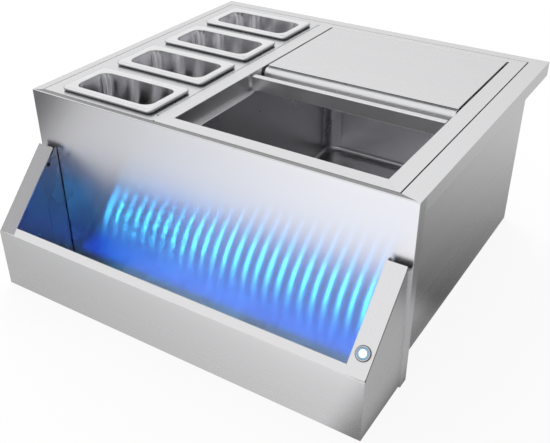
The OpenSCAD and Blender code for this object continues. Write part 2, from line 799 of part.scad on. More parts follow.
// One hollow end; x runs from its outer face inwards
module rail_end() {
    top = -rail_top_drop;
    notch_z = top - rail_notch;
    strip_y = [-cover_screw_y - screw_strip_w / 2, -cover_screw_y + screw_strip_w / 2];
    difference() {
        union() {
            along_x(0, sheet_t)
                polygon([[wall_y, floor_z], [0, floor_z], [0, notch_z], [-rail_gap, notch_z],
                    [-rail_gap, top], [wall_y, slope_at(wall_y)]]);
            along_x(sheet_t, rail_end_w)
                polygon([[wall_y, slope_at(wall_y)], [-rail_gap, top],
                    [-rail_gap, top - slope_t], [wall_y, slope_at(wall_y) - slope_t]]);
            block([sheet_t, -sheet_t, low_z], [rail_flange_w, 0, notch_z]);
            along_x(rail_end_w - 2 * sheet_t, rail_end_w - sheet_t)
                polygon([[strip_y[0], low_z], [strip_y[1], low_z],
                    [strip_y[1], slope_at(strip_y[1]) - slope_t],
                    [strip_y[0], slope_at(strip_y[0]) - slope_t]]);
        }
        for (z = bolt_z)
            translate([bolt_inset, -5, z]) rotate([-90, 0, 0])
                cylinder(d = bolt_d + 2 * hole_gap, h = 10);
        cover_screw_places() cylinder(d = screw_d + 2 * hole_gap, h = 12, center = true);
    }
}

// Axis of each cover screw, pointing into the trough
module cover_screw_places() {
    for (z = screw_z)
        translate([rail_end_w, -cover_screw_y, z]) rotate([0, 90, 0]) children();
}

module at_left_end() {
    translate([rail_x0, 0, 0]) children();
}

module at_right_end() {
    translate([rail_x1, 0, 0]) mirror([1, 0, 0]) children();
}

// Frame of the switch: its seat is the slope's face and z points out of it
module on_switch() {
    translate([switch_x, -rail_d, corner_z]) rotate([slope_a, 0, 0])
        translate([0, switch_s, 0]) children();
}

module rail_end_left() color(steel) on_deck() at_left_end() rail_end();

module rail_end_right() color(steel) on_deck() difference() {
    at_right_end() rail_end();
    on_switch() cylinder(d = barrel_d + 2 * hole_gap, h = 12, center = true);
}

// Part of an end's inner wall between two depths
module end_wall(y0, y1) {
    along_x(rail_end_w - sheet_t, rail_end_w)
        polygon([[y0, low_z], [y1, low_z], [y1, slope_at(y1) - slope_t],
            [y0, slope_at(y0) - slope_t]]);
}

module rail_end_wall_left() color(dark_steel) on_deck() at_left_end() end_wall(wall_y, cover_y);

module rail_end_wall_right() color(dark_steel) on_deck() at_right_end() difference() {
    end_wall(wall_y, cover_y);
    translate([rail_end_w, led_y, led_mid_z]) rotate([0, 90, 0])
        cylinder(d = lead_d + 2 * hole_gap, h = 10, center = true);
}

module access_cover() {
    difference() {
        end_wall(cover_y + 2 * fit_gap, -rail_gap);
        cover_screw_places() cylinder(d = screw_d + 2 * hole_gap, h = 12, center = true);
    }
}

module rail_access_cover_left() color(dark_steel) on_deck() at_left_end() access_cover();

module rail_access_cover_right() color(dark_steel) on_deck() at_right_end() access_cover();

module cover_screw() {
    head_r = screw_d * 0.9;
    cylinder(r1 = head_r, r2 = head_r * 0.7, h = screw_d / 2);
    translate([0, 0, -3 * sheet_t]) cylinder(d = screw_d, h = 3 * sheet_t);
}

module access_cover_screws() color(zinc) on_deck() {
    at_left_end() cover_screw_places() cover_screw();
    at_right_end() cover_screw_places() cover_screw();
}

module rail_bolts() color(zinc) on_deck() rail_bolt_places()
    translate([0, 0, -sheet_t]) {
        translate([0, 0, -bolt_d * 0.65]) cylinder(d = bolt_d * 1.9, h = bolt_d * 0.65, $fn = 6);
        cylinder(d = bolt_d, h = bolt_len);
    }

module rail_nuts() color(zinc) on_deck() rail_bolt_places()
    translate([0, 0, sheet_t]) hex_nut(bolt_d * 1.65, bolt_d * 0.8, bolt_d + hole_gap);

// ---- Light

module led_channel() color(zinc) on_deck() {
    x0 = trough_x0 + end_cap_t + fit_gap;
    x1 = trough_x1 - end_cap_t - fit_gap;
    difference() {
        block([x0, rim_y, led_mid_z - channel_h / 2], [x1, rim_y + channel_d,
            led_mid_z + channel_h / 2]);
        block([x0 - 1, rim_y + channel_t, led_mid_z - channel_h / 2 + channel_t],
            [x1 + 1, rim_y + channel_d + 1, led_mid_z + channel_h / 2 - channel_t]);
    }
}

module led_channel_caps() color(plastic) on_deck() {
    for (x = [trough_x0 + fit_gap, trough_x1 - fit_gap - end_cap_t])
        block([x, rim_y, led_mid_z - channel_h / 2],
            [x + end_cap_t, rim_y + channel_d, led_mid_z + channel_h / 2]);
}

module led_strip() color(board) on_deck()
    block([trough_x0 + end_cap_t + fit_gap, rim_y + channel_t, led_mid_z - strip_w / 2],
        [trough_x1 - end_cap_t - fit_gap, led_y, led_mid_z + strip_w / 2]);

module led_chips() color(light) on_deck() {
    for (k = [0:led_count - 1])
        translate([led_x0 + k * led_pitch - chip_w / 2, led_y, led_mid_z - chip_w / 2])
            cube([chip_w, chip_t, chip_w]);
}

module led_driver() color(plastic) on_deck()
    block([driver_x, driver_y, low_z], [driver_x + driver_w, driver_y + driver_d,
        low_z + driver_h]);

// A round lead along a row of points
module lead(points) {
    for (k = [0:len(points) - 2]) {
        v = points[k + 1] - points[k];
        translate(points[k]) rotate([0, acos(v[2] / norm(v)), atan2(v[1], v[0])])
            cylinder(d = lead_d, h = norm(v), $fn = 24);
    }
    for (k = [1:1:len(points) - 2]) translate(points[k]) sphere(d = lead_d, $fn = 24);
}

module led_leads() color(plastic) on_deck() {
    driver_top = low_z + driver_h;
    pin_end = insert_len + pin_len;
    elbow = pin_end + 2 * lead_d;
    inlet_top = floor_z + inlet_h;
    lead([switch_point(-pin_end), switch_point(-elbow),
        [switch_x, switch_point(-elbow)[1], driver_top]]);
    lead([[switch_x, -inlet_y, inlet_top], [switch_x, -inlet_y, inlet_top + 2 * lead_d],
        [switch_x, driver_y + driver_d, inlet_top + 2 * lead_d]]);
    lead([[switch_x - 2 * lead_d, led_y, driver_top], [switch_x - 2 * lead_d, led_y, led_mid_z],
        [trough_x1 - fit_gap, led_y, led_mid_z]]);
}

// ---- Switch and inlet

module switch_bezel() color(zinc) on_deck() on_switch() difference() {
    union() {
        translate([0, 0, -barrel_len]) cylinder(d = barrel_d, h = barrel_len);
        cylinder(d = head_d, h = head_h * 0.6);
        translate([0, 0, head_h * 0.6])
            cylinder(d1 = head_d, d2 = head_d - 0.8 * head_h, h = head_h * 0.4);
    }
    translate([0, 0, -barrel_len - 1]) cylinder(d = barrel_bore_d, h = barrel_len);
    translate([0, 0, -2]) cylinder(d = ring_od + 2 * fit_gap, h = 10);
}

module switch_light_ring() color(light) on_deck() on_switch() translate([0, 0, -1])
    difference() {
        cylinder(d = ring_od, h = 1 + head_h);
        translate([0, 0, -1]) cylinder(d = ring_bore_d, h = 10);
    }

module switch_insert() color(plastic) on_deck() on_switch() {
    difference() {
        translate([0, 0, -insert_len]) cylinder(d = barrel_bore_d - 2 * fit_gap,
            h = insert_len - 1);
        translate([0, 0, -1 - recess_h]) cylinder(d = ring_bore_d, h = 2 * recess_h);
        translate([0, 0, -insert_len + 8])
            cylinder(d = stem_d + 2 * fit_gap, h = 2 * insert_len);
    }
    for (x = [-4, 4], y = [-4, 4])
        translate([x, y, -insert_len - pin_len]) cylinder(d = 1.6, h = pin_len, $fn = 16);
    translate([0, 0, -insert_len - pin_len]) cylinder(d = 4, h = pin_len, $fn = 24);
}

module switch_cap() color(zinc) on_deck() on_switch() {
    translate([0, 0, head_h - cap_h]) {
        cylinder(d = cap_d, h = cap_h * 0.7);
        translate([0, 0, cap_h * 0.7]) cylinder(d1 = cap_d, d2 = cap_d - cap_h * 0.6,
            h = cap_h * 0.3);
        translate([0, 0, -12]) cylinder(d = stem_d, h = 12.1);
    }
}

module switch_nut() color(zinc) on_deck() on_switch() translate([0, 0, -sheet_t - switch_nut_h])
    hex_nut(switch_nut_af, switch_nut_h, barrel_d + hole_gap);

// Helix of the return spring, swept with a small polygon
function helix(k, steps, turns, r, h) =
    [r * cos(360 * turns * k / steps), r * sin(360 * turns * k / steps), h * k / steps];

module coil(r, wire, h, turns) {
    sides = 6;
    steps = 16 * turns;
    points = [for (k = [0:steps], s = [0:sides - 1])
        let (a = 360 * turns * k / steps, b = 360 * s / sides, c = helix(k, steps, turns, r, h))
        c + wire / 2 * [cos(a) * cos(b), sin(a) * cos(b), sin(b)]];
    walls = [for (k = [0:steps - 1], s = [0:sides - 1])
        let (i = k * sides + s, j = k * sides + (s + 1) % sides)
        each [[i, i + sides, j], [j, i + sides, j + sides]]];
    first = [for (s = [1:sides - 2]) [0, s, s + 1]];
    last = [for (s = [1:sides - 2])
        [steps * sides, steps * sides + s + 1, steps * sides + s]];
    polyhedron(points = points, faces = concat(walls, first, last));
}

module switch_spring() color(zinc) on_deck() on_switch() {
    wire = 0.7;
    low = -1 - recess_h + wire / 2 + 0.05;
    high = head_h - cap_h - wire / 2 - 0.05;
    translate([0, 0, low]) coil(stem_d / 2 + 2, wire, high - low, 3);
}

module power_inlet() color(plastic) on_deck() translate([switch_x, -inlet_y, floor_z])
    difference() {
        union() {
            translate([0, 0, fit_gap]) cylinder(d = inlet_d, h = inlet_h - fit_gap);
            translate([0, 0, sheet_t]) cylinder(d = inlet_d + 5, h = 2.5);
        }
        translate([0, 0, -1]) cylinder(d = inlet_bore_d, h = 1 + fit_gap + inlet_bore_len);
    }

outer_frame();
front_panel();
left_side_panel();
right_side_panel();
back_panel();
bottom_panel();
bin_frame();
condiment_deck();
ice_bin_tub();
condiment_well();
tub_insulation();
lid_rests();
lid_bumpers();
upper_lid();
upper_lid_handle();
upper_lid_stiffener();
lower_lid();
lower_lid_glides();
condiment_pan_1();
condiment_pan_2();
condiment_pan_3();
condiment_pan_4();
drain_strainer();
waste_outlet();
waste_gasket();
waste_nut();
rail_front();
rail_floor();
rail_end_left();
rail_end_right();
rail_end_wall_left();
rail_end_wall_right();
rail_access_cover_left();
rail_access_cover_right();
access_cover_screws();
rail_bolts();
rail_nuts();
led_channel();
led_channel_caps();
led_strip();
led_chips();
led_driver();
led_leads();
switch_bezel();
switch_light_ring();
switch_cap();
switch_insert();
switch_nut();
switch_spring();
power_inlet();
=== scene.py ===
import json
import math
import bpy
import bmesh
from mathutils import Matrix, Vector

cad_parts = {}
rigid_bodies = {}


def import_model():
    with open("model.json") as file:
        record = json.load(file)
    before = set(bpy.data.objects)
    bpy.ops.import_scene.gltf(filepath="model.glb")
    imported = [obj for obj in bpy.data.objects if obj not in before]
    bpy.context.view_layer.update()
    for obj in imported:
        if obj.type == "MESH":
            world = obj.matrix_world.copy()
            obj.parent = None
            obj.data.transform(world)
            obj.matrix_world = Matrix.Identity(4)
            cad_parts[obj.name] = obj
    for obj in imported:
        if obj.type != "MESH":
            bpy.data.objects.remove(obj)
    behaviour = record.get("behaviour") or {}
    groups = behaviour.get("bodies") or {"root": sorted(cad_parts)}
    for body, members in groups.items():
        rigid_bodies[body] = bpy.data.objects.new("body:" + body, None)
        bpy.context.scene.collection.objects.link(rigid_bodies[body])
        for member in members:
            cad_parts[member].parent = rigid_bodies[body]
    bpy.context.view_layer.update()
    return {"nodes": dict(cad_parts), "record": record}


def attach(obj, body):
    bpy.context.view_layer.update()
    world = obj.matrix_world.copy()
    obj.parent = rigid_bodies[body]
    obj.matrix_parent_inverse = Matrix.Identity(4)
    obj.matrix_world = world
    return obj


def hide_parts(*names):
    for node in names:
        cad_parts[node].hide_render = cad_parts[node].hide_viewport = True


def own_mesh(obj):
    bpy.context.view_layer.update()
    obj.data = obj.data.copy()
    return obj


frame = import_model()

# The deck's front left corner in the shared frame, and its size; drawings below are in mm from that corner
deck = {"left": -381.0, "front": -250.0, "top": 351.0, "wide": 762.0, "deep": 635.0}


def mm(value):
    return value / 1000


def at(x, y, z):
    # a place on the drawing, as a point of the shared frame
    return Vector((x + deck["left"], y + deck["front"], z + deck["top"])) / 1000


def drawn(point):
    # the same the other way: where a point of the shared frame is on the drawing
    return point * 1000 - Vector((deck["left"], deck["front"], deck["top"]))


# Small helpers for working by hand

def clearSelection():
    if bpy.context.object and bpy.context.object.mode != "OBJECT":
        bpy.ops.object.mode_set(mode="OBJECT")
    bpy.ops.object.select_all(action="DESELECT")


def pickOnly(piece):
    clearSelection()
    piece.select_set(True)
    bpy.context.view_layer.objects.active = piece


def enterEdit(piece, mode="FACE"):
    pickOnly(piece)
    bpy.ops.object.mode_set(mode="EDIT")
    bpy.ops.mesh.select_mode(type=mode)


def leaveEdit():
    bpy.ops.object.mode_set(mode="OBJECT")


def selectAll():
    bpy.ops.mesh.select_all(action="SELECT")


def selectFaces(piece, test):
    mesh = bmesh.from_edit_mesh(piece.data)
    for face in mesh.faces:
        face.select = bool(test(face))
    mesh.select_flush_mode()
    bmesh.update_edit_mesh(piece.data)


def selectEdges(piece, test):
    # says how many it found, because an operator with nothing selected stops the script
    mesh = bmesh.from_edit_mesh(piece.data)
    for face in mesh.faces:
        face.select = False
    for edge in mesh.edges:
        edge.select = bool(test(edge))
    mesh.select_flush_mode()
    bmesh.update_edit_mesh(piece.data)
    return sum(edge.select for edge in mesh.edges)


def settleAtOrigin(piece):
    pickOnly(piece)
    bpy.ops.object.transform_apply(location=True, rotation=True, scale=True)


def standAt(piece, point, turn=(0, 0, 0)):
    piece.rotation_euler = [math.radians(a) for a in turn]
    piece.location = point
    settleAtOrigin(piece)
    return piece


def startPiece(name, addPrimitive, scale=(1, 1, 1), **settings):
    # a primitive at its size and place, to be shaped
    clearSelection()
    addPrimitive(**settings)
    piece = bpy.context.active_object
    piece.name = name
    piece.scale = scale
    settleAtOrigin(piece)
    return piece


def duplicateOf(piece, name):
    pickOnly(piece)
    bpy.ops.object.duplicate()
    copy = bpy.context.active_object
    copy.name = name
    return copy


def joinPieces(pieces, name):
    clearSelection()
    for piece in pieces:
        piece.select_set(True)
    bpy.context.view_layer.objects.active = pieces[0]
    bpy.ops.object.join()
    pieces[0].name = name
    return pieces[0]


def copiesAt(first, name, places):
    # one copy for each (point, turn), joined; the first one has done its work then
    copies = [standAt(duplicateOf(first, name + "Copy"), point, turn) for point, turn in places]
    bpy.data.objects.remove(first)
    return joinPieces(copies, name)


def applyModifiers(piece):
    pickOnly(piece)
    for modifier in list(piece.modifiers):
        bpy.ops.object.modifier_apply(modifier=modifier.name)


def bevelSelected(width, segments, affect="EDGES"):
    bpy.ops.mesh.bevel(offset_type="OFFSET", offset=mm(width), segments=segments, profile=0.5,
                       affect=affect, clamp_overlap=affect == "EDGES")


def faceWidth(face):
    around = sum(edge.calc_length() for edge in face.edges)
    return 2000 * face.calc_area() / around if around else 0


def faceMiddle(face):
    return drawn(face.calc_center_median())


def edgeMiddle(edge):
    return drawn((edge.verts[0].co + edge.verts[1].co) / 2)


def dressFaces(piece, materials, chooser):
    # chooser gives the material's place in the list for each face
    piece.data.materials.clear()
    for material in materials:
        piece.data.materials.append(material)
    mesh = bmesh.new()
    mesh.from_mesh(piece.data)
    for face in mesh.faces:
        face.material_index = chooser(face)
    mesh.to_mesh(piece.data)
    mesh.free()


def markFaces(piece, material, test):
    # one more material, on the faces whose normal and middle pass the test
    piece.data.materials.append(material)
    last = len(piece.data.materials) - 1
    for face in piece.data.polygons:
        if test(face.normal, drawn(face.center)):
            face.material_index = last


def smoothByAngle(piece, degrees, flatWidth):
    # only the bends and rolls are smooth; a wide flat keeps its own normal
    pickOnly(piece)
    bpy.ops.object.shade_smooth_by_angle(angle=math.radians(degrees))
    mesh = bmesh.new()
    mesh.from_mesh(piece.data)
    for face in mesh.faces:
        if faceWidth(face) > flatWidth:
            face.smooth = False
    mesh.to_mesh(piece.data)
    mesh.free()


def finishPiece(piece, materials, degrees=35, flatWidth=6.0, chooser=lambda face: 0):
    dressFaces(piece, materials, chooser)
    smoothByAngle(piece, degrees, flatWidth)
    return piece


def bodyOf(node):
    bodies = frame["record"]["behaviour"]["bodies"]
    return [name for name, members in bodies.items() if node in members][0]


def place(piece, node):
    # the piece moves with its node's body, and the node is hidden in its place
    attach(piece, bodyOf(node))
    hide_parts(node)


# Materials

def toLinear(hexColour):
    # sRGB hex to the linear colour the shader wants
    out = []
    for i in (1, 3, 5):
        c = int(hexColour[i:i + 2], 16) / 255
        out.append(c / 12.92 if c <= 0.04045 else ((c + 0.055) / 1.055) ** 2.4)
    return (*out, 1.0)


def addNode(tree, kind, inputs=None, **settings):
    # inputs gives each socket a value, or another node's output to link it to
    node = tree.nodes.new(kind)
    for key, value in settings.items():
        setattr(node, key, value)
    for key, value in (inputs or {}).items():
        if isinstance(value, bpy.types.NodeSocket):
            tree.links.new(value, node.inputs[key])
        else:
            node.inputs[key].default_value = value
    node.location = (220 * (len(tree.nodes) % 7), -260 * (len(tree.nodes) // 7))
    return node


def emptyTree(owner):
    owner.use_nodes = True
    owner.node_tree.nodes.clear()
    return owner.node_tree


def objectNoise(tree, sizes, detail=3, rough=0.5, tilt=0.0):
    # noise on Object coordinates; sizes are its grain along X, Y and Z in real mm
    coords = addNode(tree, "ShaderNodeTexCoord")
    mapping = addNode(tree, "ShaderNodeMapping", {
        "Vector": coords.outputs["Object"], "Scale": tuple(mm(size) for size in sizes),
        "Rotation": (math.radians(tilt), 0, 0)}, vector_type="TEXTURE")
    noise = addNode(tree, "ShaderNodeTexNoise", {
        "Vector": mapping.outputs["Vector"], "Scale": 1.0, "Detail": detail, "Roughness": rough})
    return noise.outputs["Fac"]


# A Mix node has its sockets several times over, so they are given by place:
# 0 is the factor, 2 and 3 the two numbers with output 0, 6 and 7 the two colours with output 2
def surface(tree, values, tone, gloss, height, **more):
    # tone moves the colour from dark to light, gloss moves the roughness, height stands up as bump
    colour = addNode(tree, "ShaderNodeMix", {
        0: tone, 6: toLinear(values["dark"]), 7: toLinear(values["light"])}, data_type="RGBA")
    rough = addNode(tree, "ShaderNodeMapRange", {
        "Value": gloss, "From Min": 0.3, "From Max": 0.7,
        "To Min": values["roughness"][0], "To Max": values["roughness"][1]})
    bump = addNode(tree, "ShaderNodeBump", {
        "Height": height, "Strength": values["bump"], "Distance": mm(values["bumpHeight"])})
    shader = addNode(tree, "ShaderNodeBsdfPrincipled", {
        "Base Color": colour.outputs[2], "Roughness": rough.outputs["Result"],
        "Normal": bump.outputs["Normal"], **more})
    addNode(tree, "ShaderNodeOutputMaterial", {"Surface": shader.outputs["BSDF"]})


# 304 stainless sheet, dry-brushed on a belt: long fine grooves one way, a slow unevenness from the
# belt's pressure, and a highlight that stretches across the grooves
brushing = {
    "light": "#E7E7E8",
    "dark": "#E3E3E5",
    "groove": (250.0, 2.381),   # mm along and across; real ones lie 0.2 mm apart, too fine to show
    "belt": (1111.0, 26.32),
    "roughness": (0.26, 0.28),
    "anisotropy": 0.9,
    "bump": 0.012,
    "bumpHeight": 0.01,
    "tilt": 0.0,                # degrees about X, where the sheet is folded to a slope
}


def brushedSteel(name, grain, **changes):
    values = {**brushing, **changes}
    material = bpy.data.materials.new(name)
    tree = emptyTree(material)

    def streaks(sizes):
        along, across = sizes
        return objectNoise(tree, [along if axis == grain else across for axis in "XYZ"], 2, 0.5, values["tilt"])

    grooves = streaks(values["groove"])
    belt = streaks(values["belt"])
    half = addNode(tree, "ShaderNodeMapRange", {
        "Value": belt, "From Min": 0.3, "From Max": 0.7, "To Min": 0.0, "To Max": 0.5})
    both = addNode(tree, "ShaderNodeMath", {0: grooves, 1: 0.5, 2: half.outputs["Result"]},
                   operation="MULTIPLY_ADD")
    # the tangent lies in the face, square to the grooves
    lean = math.radians(values["tilt"])
    grooveWay = {"X": (1.0, 0.003, 0.002), "Y": (0.003, math.cos(lean), math.sin(lean) + 0.002),
                 "Z": (0.003, 0.002, 1.0)}[grain]
    geometry = addNode(tree, "ShaderNodeNewGeometry")
    tangent = addNode(tree, "ShaderNodeVectorMath", {0: geometry.outputs["Normal"], 1: grooveWay},
                      operation="CROSS_PRODUCT")
    surface(tree, values, both.outputs[0], belt, grooves, Metallic=1.0,
            Anisotropic=values["anisotropy"], Tangent=tangent.outputs["Vector"])
    return material


def satinSteel(name, light, dark, roughness, patch=71.43):
    # stainless sheet as it comes from the mill, 2B finish: fine pebbling and faint cloudy patches
    values = {"light": light, "dark": dark, "roughness": roughness, "bump": 0.12, "bumpHeight": 0.02}
    material = bpy.data.materials.new(name)
    tree = emptyTree(material)
    clouds = objectNoise(tree, (patch, patch, patch))
    pebbles = objectNoise(tree, (0.3846, 0.3846, 0.3846), 2)
    surface(tree, values, clouds, clouds, pebbles, Metallic=1.0)
    return material


def platedMetal(name, light, dark, roughness, patch=16.67):
    # turned or pressed metal with a thin finish on it: faint turning marks, slightly uneven lustre
    values = {"light": light, "dark": dark, "roughness": roughness, "bump": 0.1, "bumpHeight": 0.02}
    material = bpy.data.materials.new(name)
    tree = emptyTree(material)
    lustre = objectNoise(tree, (patch, patch, patch))
    marks = objectNoise(tree, (0.6667, 0.6667, 0.2), 2)
    surface(tree, values, lustre, lustre, marks, Metallic=1.0)
    return material


def moulded(name, light, dark, roughness, grain, bump, bumpHeight, specular=0.5):
    # plastic, rubber or foam out of a mould: a pebble grain in real mm, its colour varying with it
    values = {"light": light, "dark": dark, "roughness": roughness, "bump": bump, "bumpHeight": bumpHeight}
    material = bpy.data.materials.new(name)
    tree = emptyTree(material)
    pebbles = objectNoise(tree, (grain, grain, grain), 3, 0.6)
    surface(tree, values, pebbles, pebbles, pebbles, **{"Specular IOR Level": specular})
    return material


def glowingLens(name, colour, strength, centre):
    # translucent plastic lit from behind: even light with a faint moulded haze in it
    material = bpy.data.materials.new(name)
    tree = emptyTree(material)
    haze = objectNoise(tree, (1.111, 1.111, 1.111), 2)
    tint = addNode(tree, "ShaderNodeMix", {0: haze, 6: toLinear(colour), 7: toLinear(centre)}, data_type="RGBA")
    rough = addNode(tree, "ShaderNodeMapRange", {
        "Value": haze, "From Min": 0.3, "From Max": 0.7, "To Min": 0.25, "To Max": 0.4})
    shader = addNode(tree, "ShaderNodeBsdfPrincipled", {
        "Base Color": tint.outputs[2], "Emission Color": tint.outputs[2],
        "Emission Strength": strength, "Roughness": rough.outputs["Result"]})
    addNode(tree, "ShaderNodeOutputMaterial", {"Surface": shader.outputs["BSDF"]})
    return material


# Belt-brushed sheet, one for each way that it lies: pale grey with streaks along the grain
steelX = brushedSteel("brushedSteelAcross", "X")
steelY = brushedSteel("brushedSteelFrontToBack", "Y")
steelZ = brushedSteel("brushedSteelUpright", "Z")
steelSlope = brushedSteel("brushedSteelRailSlope", "Y", tilt=45.8)
# the left slope gets a darker copy of the same steel: painted shade on that end of the rail
steelSlopeLeftShaded = brushedSteel("brushedSteelLeftSlopeShaded", "Y", light="#B2B2B4", dark="#AAAAAC", tilt=45.8)
# the narrow front flange: greyer and duller than the deck
steelFrontStrip = brushedSteel("brushedSteelFrontFlange", "X", light="#A0A0A2", dark="#989899",
                               roughness=(0.3, 0.36))
# the front panel, brushed finer than the rest: small lamps draw out into thin separate arcs in it; its colour is
# paler than the other sheet's, a painted brightening of the panel
steelPanel = brushedSteel("brushedSteelFrontPanel", "X", light="#FAFAFD", dark="#F5F5F9",
                          roughness=(0.218, 0.226), anisotropy=1.0, bump=0.002)
# deep-drawn bright stainless: nearly a mirror, a little uneven from the punch
steelPan = satinSteel("deepDrawnPanSteel", "#EFEFF0", "#DEDEE0", (0.07, 0.13), 45.45)
# the rolled bead's underside in dark steel: a painted shade line under the rim
panBeadShade = satinSteel("panBeadPaintedShade", "#77787C", "#646569", (0.10, 0.16), 45.45)
# mill-finish sheet, welded and wiped: soft grey with broad dim reflections
steelTub = satinSteel("weldedTubSteel", "#E2E2E4", "#D2D2D5", (0.26, 0.36))
# mill-finish sheet that is never polished, for what faces inwards: a little greyer
steelInner = satinSteel("casingSteelInside", "#DCDCDE", "#CBCBCE", (0.26, 0.34))
# mill-finish sheet, set mid grey as painted shade inside the rail's trough; it takes the lamps' blue evenly
troughSteelShaded = satinSteel("troughSteelPaintedShade", "#8E8F96", "#808188", (0.24, 0.32))
# laser-cut edge of the sheet, deburred: a thin bright line
steelCut = satinSteel("sheetCutEdge", "#F2F2F2", "#DADADC", (0.18, 0.28), 25.0)
# dark steel for sheet edges and tight folds: a dull dark line, painted shadow along the folds and under edges
edgeShadowLine = satinSteel("edgePaintedShadowLine", "#5C5C60", "#49494D", (0.4, 0.5), 16.67)
# closed-cell foam board, sawn: cream, quite matt, with open cells on the cut
foamBoard = moulded("closedCellFoam", "#EEE3BE", "#E0D2A6", (0.85, 0.95), 1.6, 0.5, 0.4)
# moulded rubber: soft black with no highlight to speak of
bumperRubber = moulded("bumperRubber", "#2B2B2D", "#1E1E20", (0.6, 0.75), 0.5, 0.2, 0.1)
# butyl sealing strip in the joints; its black also stands in for the shade in the seams and gaps, painted shade
jointSealShade = moulded("jointSealPaintedShade", "#19191B", "#101012", (0.8, 0.9), 0.8, 0.2, 0.1, 0.1)
# moulded nylon: milky white with a waxy sheen
nylonWhite = moulded("nylonGlide", "#EDEDE8", "#E2E2DC", (0.35, 0.5), 0.7, 0.1, 0.05)
# moulded ABS with a spark-eroded texture: black, half matt
blackPlastic = moulded("blackMouldedPlastic", "#1D1D20", "#141416", (0.4, 0.55), 0.6, 0.2, 0.08)
# glass-fibre board under white lacquer: clean white, some gloss
whiteBoard = moulded("whiteCircuitBoard", "#F2F4F5", "#E4E8EA", (0.3, 0.42), 0.4, 0.08, 0.03)
# turned brass under chrome: bright and cool
brassPlate = platedMetal("chromePlatedBrass", "#D9D9DA", "#C5C6C9", (0.08, 0.16))
# steel under bright zinc: pale with a bluish cast and softer reflections than chrome
zincPlate = platedMetal("brightZincPlate", "#D6D9DB", "#BDC1C5", (0.16, 0.26), 8.333)
# extruded aluminium, anodised clear: even satin grey
anodised = platedMetal("anodisedAluminium", "#D2D3D6", "#C2C3C7", (0.3, 0.4), 11.11)
# chemically blackened steel: near black with a soft shine, so the screw heads read as dots
blackOxide = platedMetal("blackOxideSteel", "#2C2C30", "#1D1D20", (0.3, 0.42), 8.333)
# chrome on the switch's head, polished on top; a darker copy on its outer edge draws a dark ring, painted shade
# round the head
bezelChrome = platedMetal("polishedBezelChrome", "#C9CACC", "#B2B4B8", (0.1, 0.16))
bezelChromeShade = platedMetal("bezelChromePaintedShade", "#5A5C62", "#43454B", (0.1, 0.16))
# frosted polycarbonate lit from inside: the cap is nearly white, the ring round it a dimmer blue
capGlow = glowingLens("switchCapLens", "#D3EBFF", 1.1, "#F0F9FF")
ringGlow = glowingLens("switchRingLens", "#7299BC", 0.45, "#94BAD8")
# silicone dome over a blue light chip: saturated and very bright
chipGlow = glowingLens("ledPhosphorLens", "#2E8BFF", 6.0, "#64C4FF")
print("materials: brushed and satin steel, plating, mouldings, lenses")


# Sheet parts: the CAD sheets with their bends and edges softened
sheetWork = {
    "mergeGap": 0.01,           # mm
    "flatAngle": 0.6,           # degrees, faces flatter than this become one
    "thin": 2.6,                # mm, faces narrower than this are cut edges of the sheet
    "worn": 0.6,                # mm, faces narrower than this are the edge's own bevel
    "bend": 1.9,
    "deckBend": 1.5,
    "frameBend": 2.2,
    "frontBend": 1.35,          # along the front of the outer frame
    "panelBend": 1.8,
    "plateBend": 1.2,
    "cutEdge": 0.28,
    "bendSegments": 4,
    "cutSegments": 2,
    "smooth": 32,               # degrees
    "coverBack": -10.1,         # where the covers end in the CAD
    "coverReach": 8.2,          # and how much further they go, to a thin line beside the panel
}
# widths of the outer frame's four strips, and the opening of the bin plate
strips = {"left": 17.0, "right": 34.0, "front": 10.0, "back": 24.0}
opening = {"left": 297.0, "right": 694.5, "front": 39.5, "back": 594.0}
# where faces carry the dark sealing strip or a raw edge, by height and by distance from the deck's corner
marks = {"ledge": (-2.5, -1.0), "flange": -4.0, "rest": -14.0, "slotLeft": 262.0,
         "lidTop": -1.7, "lidFront": 335.0, "foldLean": (0.25, 0.93)}


def isFolded(edge, degrees=25):
    return len(edge.link_faces) == 2 and edge.calc_face_angle(0) > math.radians(degrees)


def isBend(edge):
    return isFolded(edge) and edge.is_convex and all(faceWidth(f) > sheetWork["thin"] for f in edge.link_faces)


def isCutEdge(edge):
    return isFolded(edge, 40) and edge.is_convex and any(
        faceWidth(f) <= sheetWork["thin"] for f in edge.link_faces)


def isWorn(face):
    return faceWidth(face) < sheetWork["worn"]


def copyOfNode(node, name):
    piece = duplicateOf(frame["nodes"][node], name)
    bpy.ops.object.parent_clear(type="CLEAR_KEEP_TRANSFORM")
    for key in list(piece.keys()):
        del piece[key]
    piece.hide_render = False
    piece.data.materials.clear()
    bpy.ops.mesh.customdata_custom_splitnormals_clear()
    enterEdit(piece)
    selectAll()
    bpy.ops.mesh.remove_doubles(threshold=mm(sheetWork["mergeGap"]))
    bpy.ops.mesh.dissolve_limited(angle_limit=math.radians(sheetWork["flatAngle"]))
    leaveEdit()
    return piece


def softenSheet(piece, bend, firstEdges=None, firstWidth=0.0):
    # firstEdges tells the edges that want their own radius, done before the bends
    enterEdit(piece, "EDGE")
    if firstEdges and selectEdges(piece, firstEdges):
        bevelSelected(firstWidth, sheetWork["bendSegments"])
    if selectEdges(piece, isBend):
        bevelSelected(bend, sheetWork["bendSegments"])
    if selectEdges(piece, isCutEdge):
        bevelSelected(sheetWork["cutEdge"], sheetWork["cutSegments"])
    leaveEdit()


def mitre(piece, x, y, normal):
    # a cut line right through a corner, to separate the brushing of two strips
    enterEdit(piece)
    selectAll()
    bpy.ops.mesh.bisect(plane_co=at(x, y, 0), plane_no=Vector(normal).normalized(), threshold=0.000001)
    leaveEdit()


